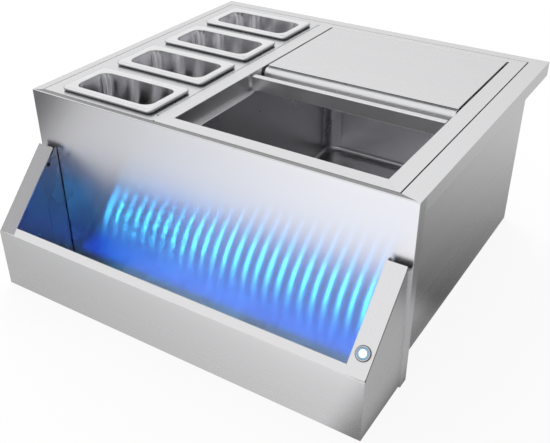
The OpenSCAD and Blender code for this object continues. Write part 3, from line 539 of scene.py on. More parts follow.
def makeOuterFrame():
    # four strips round the deck with a skirt turned down on three sides
    outer = copyOfNode("outer_frame", "outerFrame")
    softenSheet(outer, sheetWork["frameBend"],
                lambda e: isFolded(e) and edgeMiddle(e).y < 0.05 and edgeMiddle(e).z > -0.05,
                sheetWork["frontBend"])
    for x, y, normal in ((0, 0, (strips["front"], -strips["left"], 0)),
                         (deck["wide"], 0, (strips["front"], strips["right"], 0)),
                         (0, deck["deep"], (strips["back"], strips["left"], 0)),
                         (deck["wide"], deck["deep"], (strips["back"], -strips["right"], 0))):
        mitre(outer, x, y, normal)

    def grainOf(face):
        if isWorn(face):
            return 3
        p = faceMiddle(face)
        across = {"left": p.x, "right": deck["wide"] - p.x, "front": p.y, "back": deck["deep"] - p.y}
        nearest = min(("left", "right", "front", "back"), key=lambda side: across[side] / strips[side])
        if nearest == "front" and face.normal.z > -0.5:
            return 2
        return 0 if nearest in ("front", "back") else 1

    finishPiece(outer, [steelX, steelY, steelFrontStrip, steelCut], sheetWork["smooth"], chooser=grainOf)
    # the ledge that shows at the bottom of the open seams, painted black as the shade in them
    low, high = marks["ledge"]
    markFaces(outer, jointSealShade, lambda normal, middle: normal.z > 0.8 and low < middle.z < high)
    place(outer, "outer_frame")


def makeFrontPanel():
    # the panel behind the rail, with its side returns
    panel = copyOfNode("front_panel", "frontPanel")
    softenSheet(panel, sheetWork["panelBend"])
    finishPiece(panel, [steelPanel, steelZ, steelCut], sheetWork["smooth"],
                chooser=lambda f: 2 if isWorn(f) else (1 if abs(f.normal.x) > 0.7 else 0))
    place(panel, "front_panel")


def makeBinFrame():
    # one plate with a collar turned down round the opening
    plate = copyOfNode("bin_frame", "binFramePlate")
    softenSheet(plate, sheetWork["plateBend"])
    for x, y, normal in ((opening["left"], opening["front"], (1, -1, 0)),
                         (opening["right"], opening["front"], (1, 1, 0)),
                         (opening["left"], opening["back"], (1, 1, 0)),
                         (opening["right"], opening["back"], (1, -1, 0))):
        mitre(plate, x, y, normal)

    def grainOf(face):
        if isWorn(face):
            return 2
        p = faceMiddle(face)
        if p.z < -1.2:                                          # the collar
            return 0 if abs(face.normal.y) > 0.5 else 1
        out = {"left": opening["left"] - p.x, "right": p.x - opening["right"],
               "front": opening["front"] - p.y, "back": p.y - opening["back"]}
        return 0 if max(out, key=out.get) in ("front", "back") else 1

    finishPiece(plate, [steelX, steelY, steelCut], sheetWork["smooth"], chooser=grainOf)
    place(plate, "bin_frame")


def makeBrushedSheet(node, name, grain, slope=steelSlope):
    # one brushing direction; faces square to it are brushed the other way
    sheet = copyOfNode(node, name)
    softenSheet(sheet, sheetWork["bend" if node.startswith("rail") else "deckBend"])
    steels = [steelX, steelY] if grain == "X" else [steelY, steelX]
    axis = "XYZ".index(grain)

    def grainOf(face):
        if isWorn(face):
            return 2
        if abs(face.normal[axis]) > 0.75:
            return 1
        return 3 if grain == "Y" and abs(face.normal.y) > 0.5 and face.normal.z > 0.5 else 0

    finishPiece(sheet, steels + [steelCut, slope], sheetWork["smooth"], chooser=grainOf)
    if node.endswith("side_panel"):
        # the flange under the deck's joints, painted black as the shade in the grooves
        markFaces(sheet, jointSealShade, lambda normal, middle: normal.z > 0.8 and middle.z > marks["flange"])
    if node.startswith("rail_end"):
        # the folds of the slopes get the dark steel, a painted shadow line along each fold
        low, high = marks["foldLean"]
        markFaces(sheet, edgeShadowLine, lambda normal, middle: low < abs(normal.x) < high and normal.z > 0.2)
    if node == "upper_lid":
        # its front edge, beside the rolled nose, painted dark as the shadow line under the lid's edge
        markFaces(sheet, edgeShadowLine, lambda normal, middle:
                  normal.y < -0.3 and middle.z > marks["lidTop"] and middle.y < marks["lidFront"])
    place(sheet, node)


def makeSatinSheet(node, name, material):
    sheet = copyOfNode(node, name)
    if node.startswith("rail_access_cover"):
        enterEdit(sheet, "VERT")
        mesh = bmesh.from_edit_mesh(sheet.data)
        for vert in mesh.verts:
            vert.select = drawn(vert.co).y > sheetWork["coverBack"]
        mesh.select_flush_mode()
        bmesh.update_edit_mesh(sheet.data)
        bpy.ops.transform.translate(value=(0, mm(sheetWork["coverReach"]), 0))
        leaveEdit()
    softenSheet(sheet, sheetWork["bend"])
    finishPiece(sheet, [material], sheetWork["smooth"])
    if node == "lid_rests":
        # the rests' tops, painted black as the shade in the gap round the lid
        markFaces(sheet, jointSealShade, lambda normal, middle: normal.z > 0.8 and middle.z > marks["rest"])
    place(sheet, node)


makeOuterFrame()
makeFrontPanel()
makeBinFrame()
makeBrushedSheet("condiment_deck", "condimentDeckPlate", "X")
makeBrushedSheet("left_side_panel", "casingSideLeft", "Y")
makeBrushedSheet("right_side_panel", "casingSideRight", "Y")
makeBrushedSheet("back_panel", "casingBack", "X")
makeBrushedSheet("upper_lid", "upperLidPlate", "X")
makeBrushedSheet("upper_lid_handle", "upperLidNose", "X")
makeBrushedSheet("lower_lid", "lowerLidPlate", "X")
makeBrushedSheet("rail_front", "railFront", "X")
makeBrushedSheet("rail_end_left", "railEndLeft", "Y", steelSlopeLeftShaded)
makeBrushedSheet("rail_end_right", "railEndRight", "Y")
# the trough's walls, covers and floor: the steel darkened as painted shade
makeSatinSheet("rail_end_wall_left", "troughWallLeft", troughSteelShaded)
makeSatinSheet("rail_end_wall_right", "troughWallRight", troughSteelShaded)
makeSatinSheet("rail_access_cover_left", "accessCoverLeft", troughSteelShaded)
makeSatinSheet("rail_access_cover_right", "accessCoverRight", troughSteelShaded)
makeSatinSheet("rail_floor", "troughFloor", troughSteelShaded)
makeSatinSheet("bottom_panel", "casingBottom", steelInner)
makeSatinSheet("lid_rests", "lidRests", steelInner)
makeSatinSheet("upper_lid_stiffener", "lidStiffener", steelInner)
makeSatinSheet("led_channel", "lightChannel", anodised)
makeSatinSheet("led_channel_caps", "lightChannelCaps", blackPlastic)
makeSatinSheet("led_strip", "lightBoard", whiteBoard)
print("sheets: outer frame, panel, plates, lids, casing and rail softened")


# Ways of making a rounded shell, a turned part and a cut

def pullRing(rise, wide, deep, centre):
    # the selected ring, pulled up by rise and brought in or out round its centre
    bpy.ops.mesh.extrude_edges_move(TRANSFORM_OT_translate={"value": (0, 0, mm(rise))})
    bpy.ops.transform.resize(value=(wide, deep, 1), center_override=centre)


def roundedFace(name, x0, y0, x1, y1, z, radius, segments):
    # a plane brought to size and its four corners rounded
    plane = startPiece(name, bpy.ops.mesh.primitive_plane_add, (mm(x1 - x0), mm(y1 - y0), 1),
                       size=1, location=at((x0 + x1) / 2, (y0 + y1) / 2, z))
    enterEdit(plane, "VERT")
    selectAll()
    bevelSelected(radius, segments, "VERTICES")
    leaveEdit()
    return plane


def quarterSteps(radius, count):
    # a quarter round as steps inward and upward, from upright to flat
    turns = [math.radians(90 * k / count) for k in range(count + 1)]
    points = [(radius * math.cos(turn), radius * math.sin(turn)) for turn in turns]
    return [(abs(b[0] - a[0]), b[1] - a[1]) for a, b in zip(points, points[1:])]


def downwards(steps):
    return [(inward, -upward) for inward, upward in steps]


def faceCavity(piece):
    # every face of a hollow points into it, its floor points up
    enterEdit(piece)
    selectAll()
    bpy.ops.mesh.normals_make_consistent(inside=False)
    mesh = bmesh.from_edit_mesh(piece.data)
    middle = sum((v.co for v in mesh.verts), Vector()) / len(mesh.verts)
    inward = 0.0
    for face in mesh.faces:
        if abs(face.normal.z) < 0.5:
            inside = Vector((*(middle - face.calc_center_median()).xy, 0.0))
        else:
            inside = Vector((0, 0, 1))
        inward += face.calc_area() * face.normal.dot(inside.normalized())
    if inward < 0:
        bpy.ops.mesh.flip_normals()
    leaveEdit()


def drawnShell(name, corners, z, radius, steps, segments, closed):
    # a rounded outline pulled down ring by ring, as a punch draws a sheet; steps are (inward, upward) in mm
    x0, y0, x1, y1 = corners
    shell = roundedFace(name, x0, y0, x1, y1, z, radius, segments)
    halfWide, halfDeep = (x1 - x0) / 2, (y1 - y0) / 2
    middle = at((x0 + x1) / 2, (y0 + y1) / 2, z)
    enterEdit(shell, "EDGE")
    selectAll()
    bpy.ops.mesh.delete(type="ONLY_FACE")
    selectAll()
    for inward, upward in steps:
        pullRing(upward, (halfWide - inward) / halfWide, (halfDeep - inward) / halfDeep, middle)
        halfWide, halfDeep = halfWide - inward, halfDeep - inward
    if closed:
        bpy.ops.mesh.edge_face_add()
    leaveEdit()
    faceCavity(shell)
    return shell


def turnedShape(name, profile, sides=48):
    # a ring pulled from step to step along its axis, as on a lathe; (radius, height) in mm, ends closed
    piece = startPiece(name, bpy.ops.mesh.primitive_circle_add, vertices=sides,
                       radius=mm(profile[0][0]), location=(0, 0, mm(profile[0][1])))
    enterEdit(piece, "EDGE")
    selectAll()
    for (radius, height), (nextRadius, nextHeight) in zip(profile, profile[1:]):
        pullRing(nextHeight - height, nextRadius / radius, nextRadius / radius, (0, 0, 0))
    selectAll()
    bpy.ops.mesh.remove_doubles(threshold=0.000001)
    selectAll()
    bpy.ops.mesh.fill_holes(sides=0)
    selectAll()
    bpy.ops.mesh.normals_make_consistent(inside=False)
    leaveEdit()
    return piece


def threadSteps(radius, depth, start, end, pitch):
    # ridges of a screw thread, drawn as rings
    count = max(1, round(abs(end - start) / pitch))
    step = (end - start) / count
    steps = []
    for k in range(count):
        steps += [(radius - depth, start + step * (k + 0.25)), (radius, start + step * (k + 0.6)),
                  (radius, start + step * (k + 0.8))]
    return steps


def cutAway(piece, cutter):
    cut = piece.modifiers.new("cutAway", "BOOLEAN")
    cut.operation = "DIFFERENCE"
    cut.solver = "EXACT"
    cut.object = cutter
    applyModifiers(piece)
    bpy.data.objects.remove(cutter)
    return piece


def thickenSheet(piece, thickness):
    # the drawn side keeps its place, and the sheet's back grows outwards
    faceCavity(piece)
    solid = piece.modifiers.new("sheetThickness", "SOLIDIFY")
    solid.thickness = mm(thickness)
    solid.offset = -1
    solid.use_even_offset = True
    applyModifiers(piece)


def hexNut(name, flats, low, high, bore, chamfer):
    corner = flats / 2 / math.cos(math.pi / 6)
    nut = turnedShape(name, [
        (corner - chamfer, low), (corner, low + chamfer * 0.6), (corner, high - chamfer * 0.6),
        (corner - chamfer, high)], 6)
    hole = turnedShape("nutBore", [
        (bore + 0.7, low - 1), (bore + 0.7, low), (bore, low + 0.7), (bore, high - 0.7),
        (bore + 0.7, high), (bore + 0.7, high + 1)], 36)
    return cutAway(nut, hole)


# Ice bin tub and condiment well: drawn down from a flange, coved floor, rounded corners
tubShape = {
    "outer": (294.0, 36.5, 697.5, 597.0), "flangeTop": -35.0, "flange": 11.0, "lip": 1.4,
    "corner": 26.0, "floor": -290.0, "cove": 14.0, "sheet": 1.4,
    "cornerSegments": 9,
    "drain": (495.75, 316.75), "sumpRadius": 70.0, "sumpFlat": 36.0, "sumpFloor": -294.0, "hole": 19.4,
}
wellShape = {
    "outer": (30.8, 23.8, 266.2, 596.2), "flangeTop": -1.6, "flange": 3.9, "lip": 1.2,
    "corner": 25.0, "floor": -130.0, "cove": 14.0, "sheet": 1.4, "cornerSegments": 9,
}


def startTub(name, shape, closed):
    lip = downwards(quarterSteps(shape["lip"], 4))[::-1]
    cove = downwards(quarterSteps(shape["cove"], 7))
    wall = shape["flangeTop"] - shape["floor"] - shape["lip"] - shape["cove"]
    return drawnShell(name, shape["outer"], shape["flangeTop"], shape["corner"] + shape["flange"],
                      [(shape["flange"], 0.0)] + lip + [(0.0, -wall)] + cove, shape["cornerSegments"], closed)


def makeTub():
    shape = tubShape
    tub = startTub("iceBinTub", shape, closed=False)
    # the floor is flat to the sump's edge, then falls to the drain
    centre = at(*shape["drain"], shape["floor"])
    sump = startPiece("tubSump", bpy.ops.mesh.primitive_circle_add, vertices=40,
                      radius=mm(shape["sumpRadius"]), location=centre)
    enterEdit(sump, "EDGE")
    selectAll()
    now = shape["sumpRadius"]
    for radius, drop in ((shape["sumpFlat"] + 3, shape["sumpFloor"] - shape["floor"] + 0.3),
                         (shape["sumpFlat"] - 1, -0.3), (shape["hole"], 0.0)):
        pullRing(drop, radius / now, radius / now, centre)
        now = radius
    leaveEdit()
    faceCavity(sump)
    whole = joinPieces([tub, sump], "iceBinTub")
    enterEdit(whole, "EDGE")
    selectEdges(whole, lambda e: e.is_boundary and abs(edgeMiddle(e).z - shape["floor"]) < 0.05)
    bpy.ops.mesh.bridge_edge_loops()
    leaveEdit()
    thickenSheet(whole, shape["sheet"])
    finishPiece(whole, [steelTub], 40, 12)
    place(whole, "ice_bin_tub")


def makeWell():
    well = startTub("condimentWell", wellShape, closed=True)
    thickenSheet(well, wellShape["sheet"])
    finishPiece(well, [steelTub], 40, 12)
    # the flange shows through the open slot beside the bin frame, painted black as the shade in the slot
    markFaces(well, jointSealShade, lambda normal, middle:
              normal.z > 0.8 and middle.z > marks["flange"] and middle.x > marks["slotLeft"])
    place(well, "condiment_well")


makeTub()
makeWell()
print("tubs: ice bin and condiment well drawn")


# Condiment pans: deep drawn, rolled bead, flat rim
pan = {
    "left": 49.5, "front": 23.5, "pitch": 145.5, "length": 207.0, "width": 116.0, "count": 4,
    "beadRadius": 4.0, "beadLow": 0.3, "outerCorner": 10.0, "innerCorner": 19.0,
    "rimWidth": 15.2, "lipRadius": 2.6, "depth": 100.0, "draft": 8.0, "cove": 11.0,
    "sheet": 0.9, "cornerSegments": 8, "beadShadeReach": 6.0,
}


def beadHalf(name, corners, z, steps, isOpening):
    # half of the bead: a rounded face inset step by step, and its middle taken out
    piece = roundedFace(name, *corners, z, pan["outerCorner"], pan["cornerSegments"])
    enterEdit(piece)
    selectAll()
    for inward, upward in steps:
        bpy.ops.mesh.inset(thickness=mm(inward), depth=mm(upward), use_even_offset=True)
    selectFaces(piece, lambda f: isOpening(f.normal.z) and faceWidth(f) > 30)
    bpy.ops.mesh.delete(type="FACE")
    return piece


def makePan():
    x0, y0 = pan["left"], pan["front"]
    x1, y1 = x0 + pan["length"], y0 + pan["width"]
    r = pan["beadRadius"]
    middle = pan["beadLow"] + r

    # upper half of the bead, from its widest line up and in to the flat rim
    upper = beadHalf("panBead", (x0, y0, x1, y1), middle,
                     quarterSteps(r, 6) + [(0.9, -0.35), (0.5, -0.1)], lambda up: up > 0.99)
    leaveEdit()
    # lower half rolls back under, a little further than level
    lower = beadHalf("panBeadUnder", (x0, y0, x1, y1), middle,
                     downwards(quarterSteps(r, 6)) + [(1.4, 0.5), (0.9, 1.1)], lambda up: abs(up) > 0.99)
    selectAll()
    bpy.ops.mesh.flip_normals()
    leaveEdit()

    # the drawn body: lip, straight drafted wall, coved floor
    m = pan["rimWidth"] - 1
    lip = downwards(quarterSteps(pan["lipRadius"], 5))[::-1]
    wall = pan["depth"] - pan["lipRadius"] - pan["cove"] - 0.5
    steep = [(pan["draft"] * share, -wall * share) for share in (0.12, 0.88)]
    cove = downwards(quarterSteps(pan["cove"], 6))
    body = drawnShell("panBody", (x0 + m, y0 + m, x1 - m, y1 - m), middle + r - 0.45, pan["innerCorner"] + 1,
                      [(0.6, 0.0)] + lip + steep + cove + [(3.0, -0.2)], pan["cornerSegments"], closed=True)

    whole = joinPieces([upper, lower, body], "condimentPan1")
    enterEdit(whole, "EDGE")
    selectAll()
    bpy.ops.mesh.remove_doubles(threshold=mm(0.01))
    # close the flat rim between the bead and the lip
    selectEdges(whole, lambda e: e.is_boundary and edgeMiddle(e).z > middle + 2)
    bpy.ops.mesh.bridge_edge_loops()
    leaveEdit()
    thickenSheet(whole, pan["sheet"])
    finishPiece(whole, [steelPan], 50)
    # the rolled underside of the bead, near the outline, painted dark as the shade under the rim
    markFaces(whole, panBeadShade, lambda normal, spot: 0 < spot.z < middle and
              min(spot.x - x0, x1 - spot.x, spot.y - y0, y1 - spot.y) < pan["beadShadeReach"])
    return whole


pans = [makePan()]
for number in range(2, pan["count"] + 1):
    copy = duplicateOf(pans[0], "condimentPan%d" % number)
    pans.append(standAt(copy, (0, mm(pan["pitch"] * (number - 1)), 0)))
for number, piece in enumerate(pans, 1):
    place(piece, "condiment_pan_%d" % number)
print("pans:", len(pans), "with bead and rim rolled")


# Waste outlet under the tub: flange, threaded tail, spigot; with its gasket, lock nut and strainer
waste = {
    "x": 495.75, "y": 316.75, "flange": 32.0, "flangeTop": -292.0, "seat": -294.0, "tail": 19.0,
    "threadStart": -296.5, "threadEnd": -310.5, "threadPitch": 2.0, "threadDepth": 0.8,
    "spigot": 15.9, "bore": 13.5, "end": -344.0,
    "nutFlats": 50.0, "nut": (-307.5, -298.5), "gasket": (-298.5, -295.5), "gasketRadius": 30.0, "gap": 0.3,
    "strainer": -291.7, "strainerRadius": 27.0, "plate": 1.2, "hole": 2.25, "knob": 5.0, "knobMiddle": 12.0,
}


def makeOutlet():
    w = waste
    outlet = turnedShape("wasteOutlet", [
        (w["bore"], -294.6), (14.2, -293.3), (16.5, -292.4), (19.5, w["flangeTop"]), (31.0, w["flangeTop"]),
        (31.7, -292.3), (w["flange"], -292.9), (w["flange"], w["seat"]), (w["tail"], w["seat"]),
        (w["tail"], w["threadStart"])]
        + threadSteps(w["tail"], w["threadDepth"], w["threadStart"], w["threadEnd"] + 0.4, w["threadPitch"])
        + [(w["tail"] - 1, w["threadEnd"]), (w["spigot"], w["threadEnd"]), (w["spigot"], w["end"] + 0.8),
           (w["spigot"] - 0.6, w["end"]), (w["bore"] + 0.4, w["end"]), (w["bore"], w["end"] + 0.5),
           (w["bore"], -294.6)], 64)
    standAt(outlet, at(w["x"], w["y"], 0))
    place(finishPiece(outlet, [brassPlate], 30, 9), "waste_outlet")


def makeGasketAndNut():
    w = waste
    low, high = w["gasket"]
    inner, outer = w["tail"] + w["gap"], w["gasketRadius"]
    gasket = turnedShape("wasteGasket", [
        (inner, low + 0.4), (inner + 0.4, low), (outer - 0.5, low), (outer, low + 0.5), (outer, high - 0.5),
        (outer - 0.5, high), (inner + 0.4, high), (inner, high - 0.4), (inner, low + 0.4)], 64)
    standAt(gasket, at(w["x"], w["y"], 0))
    place(finishPiece(gasket, [bumperRubber], 40, 9), "waste_gasket")

    nut = hexNut("wasteNut", w["nutFlats"], *w["nut"], inner, 1.3)
    standAt(nut, at(w["x"], w["y"], 0))
    place(finishPiece(nut, [brassPlate], 30, 5), "waste_nut")


def makeStrainer():
    # pierced plate with a turned knob; the holes are punched with one cutter copied round
    w = waste
    z, r, hole = w["strainer"], w["strainerRadius"], w["hole"]
    plate = turnedShape("drainStrainer", [
        (r - 0.5, z), (r, z + 0.3), (r, z + 0.9), (r - 0.5, z + w["plate"]),
        (r - 2.2, z + w["plate"]), (r - 3.2, z + w["plate"] - 0.25)], 72)
    punch = turnedShape("punch", [
        (hole + 0.25, z - 1), (hole + 0.25, z), (hole, z + 0.25), (hole, z + 1.0), (hole + 0.3, z + 1.3),
        (hole + 0.3, z + 3)], 20)
    holes = []
    for ring in (1, 2):
        away = mm((ring + 0.75) * hole * 3)
        for k in range(6 * ring):
            turn = math.radians(60 / ring * k)
            holes.append(((away * math.cos(turn), away * math.sin(turn), 0), (0, 0, 0)))
    cutAway(plate, copiesAt(punch, "punches", holes))
    ball = [(max(0.4, w["knob"] * math.sin(turn)), z + w["knobMiddle"] - w["knob"] * math.cos(turn))
            for turn in [math.radians(degrees) for degrees in range(34, 181, 12)]]
    knob = turnedShape("strainerKnob", [
        (3.6, z + 0.9), (3.6, z + 1.4), (2.8, z + 2.2), (2.4, z + 3.5), (2.4, z + 7.0)]
        + ball + [(0.3, z + w["knobMiddle"] + w["knob"])], 32)
    strainer = standAt(joinPieces([plate, knob], "drainStrainer"), at(w["x"], w["y"], 0))
    place(finishPiece(strainer, [steelPan]), "drain_strainer")


makeOutlet()
makeGasketAndNut()
makeStrainer()
print("waste: outlet, gasket, nut and strainer")


# Cross-recess screws in the access covers, hex bolts and nuts that hold the rail
screw = {
    "x": (39.5, 722.5), "turn": (90, -90), "y": -26.0, "z": (-335.0, -133.0),
    "head": 3.6, "headHigh": 2.0, "shank": 2.0, "long": 4.5,
    "recessLong": 2.1, "recessWide": 0.75, "recessTaper": 0.55,
}
bolt = {
    "x": (16.5, 745.5), "z": (-319.5, -232.0, -144.5), "head": 5.7, "headHigh": 3.9, "seat": -1.5,
    "shank": 3.0, "end": 12.5, "nutFlats": 9.9, "nut": (1.5, 6.3), "gap": 0.15,
}


def makeScrew():
    s = screw
    head = turnedShape("coverScrew", [(1.2, -s["long"]), (s["shank"] - 0.2, -s["long"] + 0.6)]
                       + threadSteps(s["shank"], 0.3, -s["long"] + 0.6, -0.4, 0.8)
                       + [(s["shank"], 0.0), (s["head"] - 0.1, 0.0), (s["head"], 0.15), (s["head"], 0.5),
                          (s["head"] - 0.3, 1.05), (s["head"] - 0.9, 1.55), (s["head"] - 1.8, 1.9),
                          (0.8, s["headHigh"])], 32)
    # the recess is a cross pulled out of a small block
    cross = startPiece("screwRecess", bpy.ops.mesh.primitive_cube_add, (1, 1, 3.6),
                       size=mm(s["recessWide"]), location=(0, 0, mm(s["headHigh"] + 0.3)))
    enterEdit(cross)
    for axis, sign in ((0, 1), (0, -1), (1, 1), (1, -1)):
        selectFaces(cross, lambda f: f.normal[axis] * sign > 0.9)
        push = [0, 0, 0]
        push[axis] = sign * mm(s["recessLong"] - s["recessWide"] / 2)
        bpy.ops.mesh.extrude_region_move(TRANSFORM_OT_translate={"value": tuple(push)})
    # its arms narrow towards the bottom
    selectFaces(cross, lambda f: f.normal.z < -0.9)
    bpy.ops.transform.resize(value=(s["recessTaper"], s["recessTaper"], 1),
                             center_override=(0, 0, mm(s["headHigh"])))
    leaveEdit()
    return cutAway(head, cross)


def makeBolt():
    b = bolt
    low = b["seat"] - b["headHigh"]
    head = turnedShape("boltHead", [(b["head"] - 0.7, low), (b["head"], low + 0.5),
                                    (b["head"], b["seat"] - 0.6), (b["head"] - 0.3, b["seat"] - 0.4)], 6)
    shank = turnedShape("boltShank", [(5.2, b["seat"] - 0.5), (5.2, b["seat"]), (b["shank"], b["seat"]),
                                      (b["shank"], 1.0)]
                        + threadSteps(b["shank"], 0.35, 1.0, b["end"] - 0.8, 1.0) + [(2.3, b["end"])], 28)
    return joinPieces([head, shank], "railBolt")


def makeFixings():
    screwPlaces = [(at(x, screw["y"], z), (0, turn, 0))
                   for x, turn in zip(screw["x"], screw["turn"]) for z in screw["z"]]
    boltPlaces = [(at(x, 0, z), (-90, 0, 0)) for x in bolt["x"] for z in bolt["z"]]
    screws = copiesAt(makeScrew(), "coverScrews", screwPlaces)
    place(finishPiece(screws, [blackOxide], 30, 3), "access_cover_screws")
    firstBolt = makeBolt()
    firstNut = hexNut("railNut", bolt["nutFlats"], *bolt["nut"], bolt["shank"] + bolt["gap"], 0.6)
    for first, name, node in ((firstBolt, "railBolts", "rail_bolts"), (firstNut, "railNuts", "rail_nuts")):
        whole = copiesAt(first, name, boltPlaces)
        place(finishPiece(whole, [zincPlate], 30, 3), node)


makeFixings()
print("fixings: screws, bolts and nuts")


# Light chips: moulded package with a lens set in its face, one shape copied along the board
chip = {
    "count": 28, "first": 43.5, "last": 718.5, "wide": 5.0, "thick": 1.6, "back": -121.6, "z": -289.0,
    "corner": 0.45, "frame": 0.75, "cavity": 0.35, "domeEdge": (0.45, 0.195), "domeTop": (0.5, 0.09),
    "lens": 1.4,
}
chipPitch = (chip["last"] - chip["first"]) / (chip["count"] - 1)


def makeChips():
    first = startPiece("lightChip", bpy.ops.mesh.primitive_cube_add,
                       (mm(chip["wide"]), mm(chip["thick"]), mm(chip["wide"])), size=1)
    enterEdit(first, "EDGE")
    selectEdges(first, lambda e: abs(e.verts[0].co.y - e.verts[1].co.y) > mm(1))
    bevelSelected(chip["corner"], 2)
    bpy.ops.mesh.select_mode(type="FACE")
    selectFaces(first, lambda f: f.normal.y > 0.9)
    for inward, upward in ((chip["frame"], 0), (chip["cavity"], -chip["cavity"]),
                           chip["domeEdge"], chip["domeTop"]):
        bpy.ops.mesh.inset(thickness=mm(inward), depth=mm(upward))
    leaveEdit()

    def isLens(face):
        x, y, z = face.calc_center_median() * 1000
        return face.normal.y > 0.5 and max(abs(x), abs(z)) < chip["lens"] and y > chip["thick"] / 2 - 0.5

    finishPiece(first, [whiteBoard, chipGlow], 35, 3, isLens)
    row = [(at(chip["first"] + k * chipPitch, chip["back"] + chip["thick"] / 2, chip["z"]), (0, 0, 0))
           for k in range(chip["count"])]
    place(copiesAt(first, "lightChips", row), "led_chips")


makeChips()
print("light chips:", chip["count"])


# Push switch on the rail's right slope: bezel, lit ring, cap with a lit centre, nut under the sheet
switch = {
    "place": (740.5, -108.02, -205.26), "slope": 45.8, "head": 12.5, "headHigh": 2.2, "shadeRim": 11.6,
    "barrel": 10.9, "bore": 9.6, "long": 28.0, "ringOut": 8.6, "ringIn": 6.8,
    "cap": 6.5, "lens": 4.1, "stem": 2.5, "stemEnd": -9.8, "nutFlats": 26.0, "nut": (-6.5, -1.5), "gap": 0.3,
}
# Return spring under the cap: wound wire, drawn at rest; in the switch it closes up as the cap goes in
spring = {"coil": 4.5, "wire": 0.35, "turns": 3, "low": -6.6, "high": -0.45, "travel": 1.6}

switchSpot = at(*switch["place"])
switchLean = math.radians(switch["slope"])
switchAxis = Vector((0, -math.sin(switchLean), math.cos(switchLean)))


def makeSpring():
    s = spring
    wire = startPiece("switchSpring", bpy.ops.mesh.primitive_circle_add, vertices=10, radius=mm(s["wire"]),
                      rotation=(math.radians(90), 0, 0), location=(mm(s["coil"]), 0, mm(s["low"] + s["wire"])))
    winding = wire.modifiers.new("winding", "SCREW")
    winding.axis = "Z"
    winding.angle = math.radians(360)
    winding.screw_offset = mm((s["high"] - s["low"] - 2 * s["wire"]) / s["turns"])
    winding.iterations = s["turns"]
    winding.steps = winding.render_steps = 28
    applyModifiers(wire)
    enterEdit(wire, "EDGE")
    selectAll()
    bpy.ops.mesh.fill_holes(sides=0)
    selectAll()
    bpy.ops.mesh.normals_make_consistent(inside=False)
    leaveEdit()
    standAt(wire, switchSpot, (switch["slope"], 0, 0))
    place(finishPiece(wire, [zincPlate], 60, 3), "switch_spring")
    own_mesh(wire)


def fromAxis(face):
    # how high a face is along the switch's own axis, and how far from it, in mm
    away = (face.calc_center_median() - switchSpot) * 1000
    height = away.dot(switchAxis)
    return height, (away - switchAxis * height).length


def makeSwitch():
    w = switch
    seat = w["ringOut"] + w["gap"]
    bezel = turnedShape("switchBezel", [
        (seat, -1.0), (seat, 1.5), (seat + 0.3, 1.9), (seat + 1.0, w["headHigh"]), (11.3, w["headHigh"]),
        (12.0, 2.0), (12.4, 1.5), (w["head"], 0.9), (w["head"], 0.1), (w["head"] - 0.1, 0.0),
        (w["barrel"], 0.0), (w["barrel"], -1.6)]
        + threadSteps(w["barrel"], 0.5, -1.6, -w["long"] + 0.6, 1.5)
        + [(w["barrel"] - 0.6, -w["long"]), (w["bore"], -w["long"]), (w["bore"], -1.0), (seat, -1.0)], 72)
    ring = turnedShape("switchLightRing", [
        (w["ringIn"], -1.0), (w["ringOut"], -1.0), (w["ringOut"], 1.6), (w["ringOut"] - 0.35, 1.95),
        (w["ringOut"] - 0.9, 2.1), (w["ringIn"] + 0.5, 2.1), (w["ringIn"], 1.8), (w["ringIn"], -1.0)], 72)
    cap = turnedShape("switchCap", [
        (w["stem"] - 0.2, w["stemEnd"]), (w["stem"], w["stemEnd"] + 0.3), (w["stem"], 0.1),
        (w["cap"] - 0.2, 0.1), (w["cap"], 0.3), (w["cap"], 1.5), (w["cap"] - 0.3, 2.0), (w["cap"] - 0.8, 2.2),
        (w["lens"] + 0.3, 2.2), (w["lens"], 2.0), (w["lens"] - 0.2, 1.9), (w["lens"] - 1.2, 2.05),
        (w["lens"] - 2.4, 2.13), (0.6, 2.16)], 64)
    nut = hexNut("switchNut", w["nutFlats"], *w["nut"], w["barrel"] + w["gap"] / 2, 0.9)

    def isLitFace(face):
        height, radius = fromAxis(face)
        return height > 1.8 and radius < w["cap"] - 0.3

    # the bezel's outer edge, which takes the painted shade ring
    def isShadedRim(face):
        return fromAxis(face)[1] > w["shadeRim"]

    for piece, materials, chooser, node, slotName in (
            (bezel, [bezelChrome, bezelChromeShade], isShadedRim, "switch_bezel", "plated_brass"),
            (ring, [ringGlow], lambda face: 0, "switch_light_ring", "light_lens"),
            (cap, [bezelChrome, capGlow], isLitFace, "switch_cap", "plated_brass"),
            (nut, [zincPlate], lambda face: 0, "switch_nut", "plated_steel")):
        standAt(piece, switchSpot, (w["slope"], 0, 0))
        place(finishPiece(piece, materials, 30, 7, chooser), node)


makeSpring()
makeSwitch()
print("switch: return spring, bezel, ring, cap and nut")


# Driver box and power inlet inside the right end of the rail
driver = {
    "low": (726.5, -125.5, -349.5), "high": (754.5, -65.5, -307.5), "edge": 1.6,
    "seam": 0.4, "seamDeep": 0.6, "lidInset": 2.4, "lidDrop": 0.8,
}
inlet = {
    "x": 740.5, "y": -26.0, "bottom": -350.7, "floor": -349.5, "top": -337.0, "radius": 6.0, "flange": 8.5,
    "bore": 2.8, "boreEnd": -341.2,
}


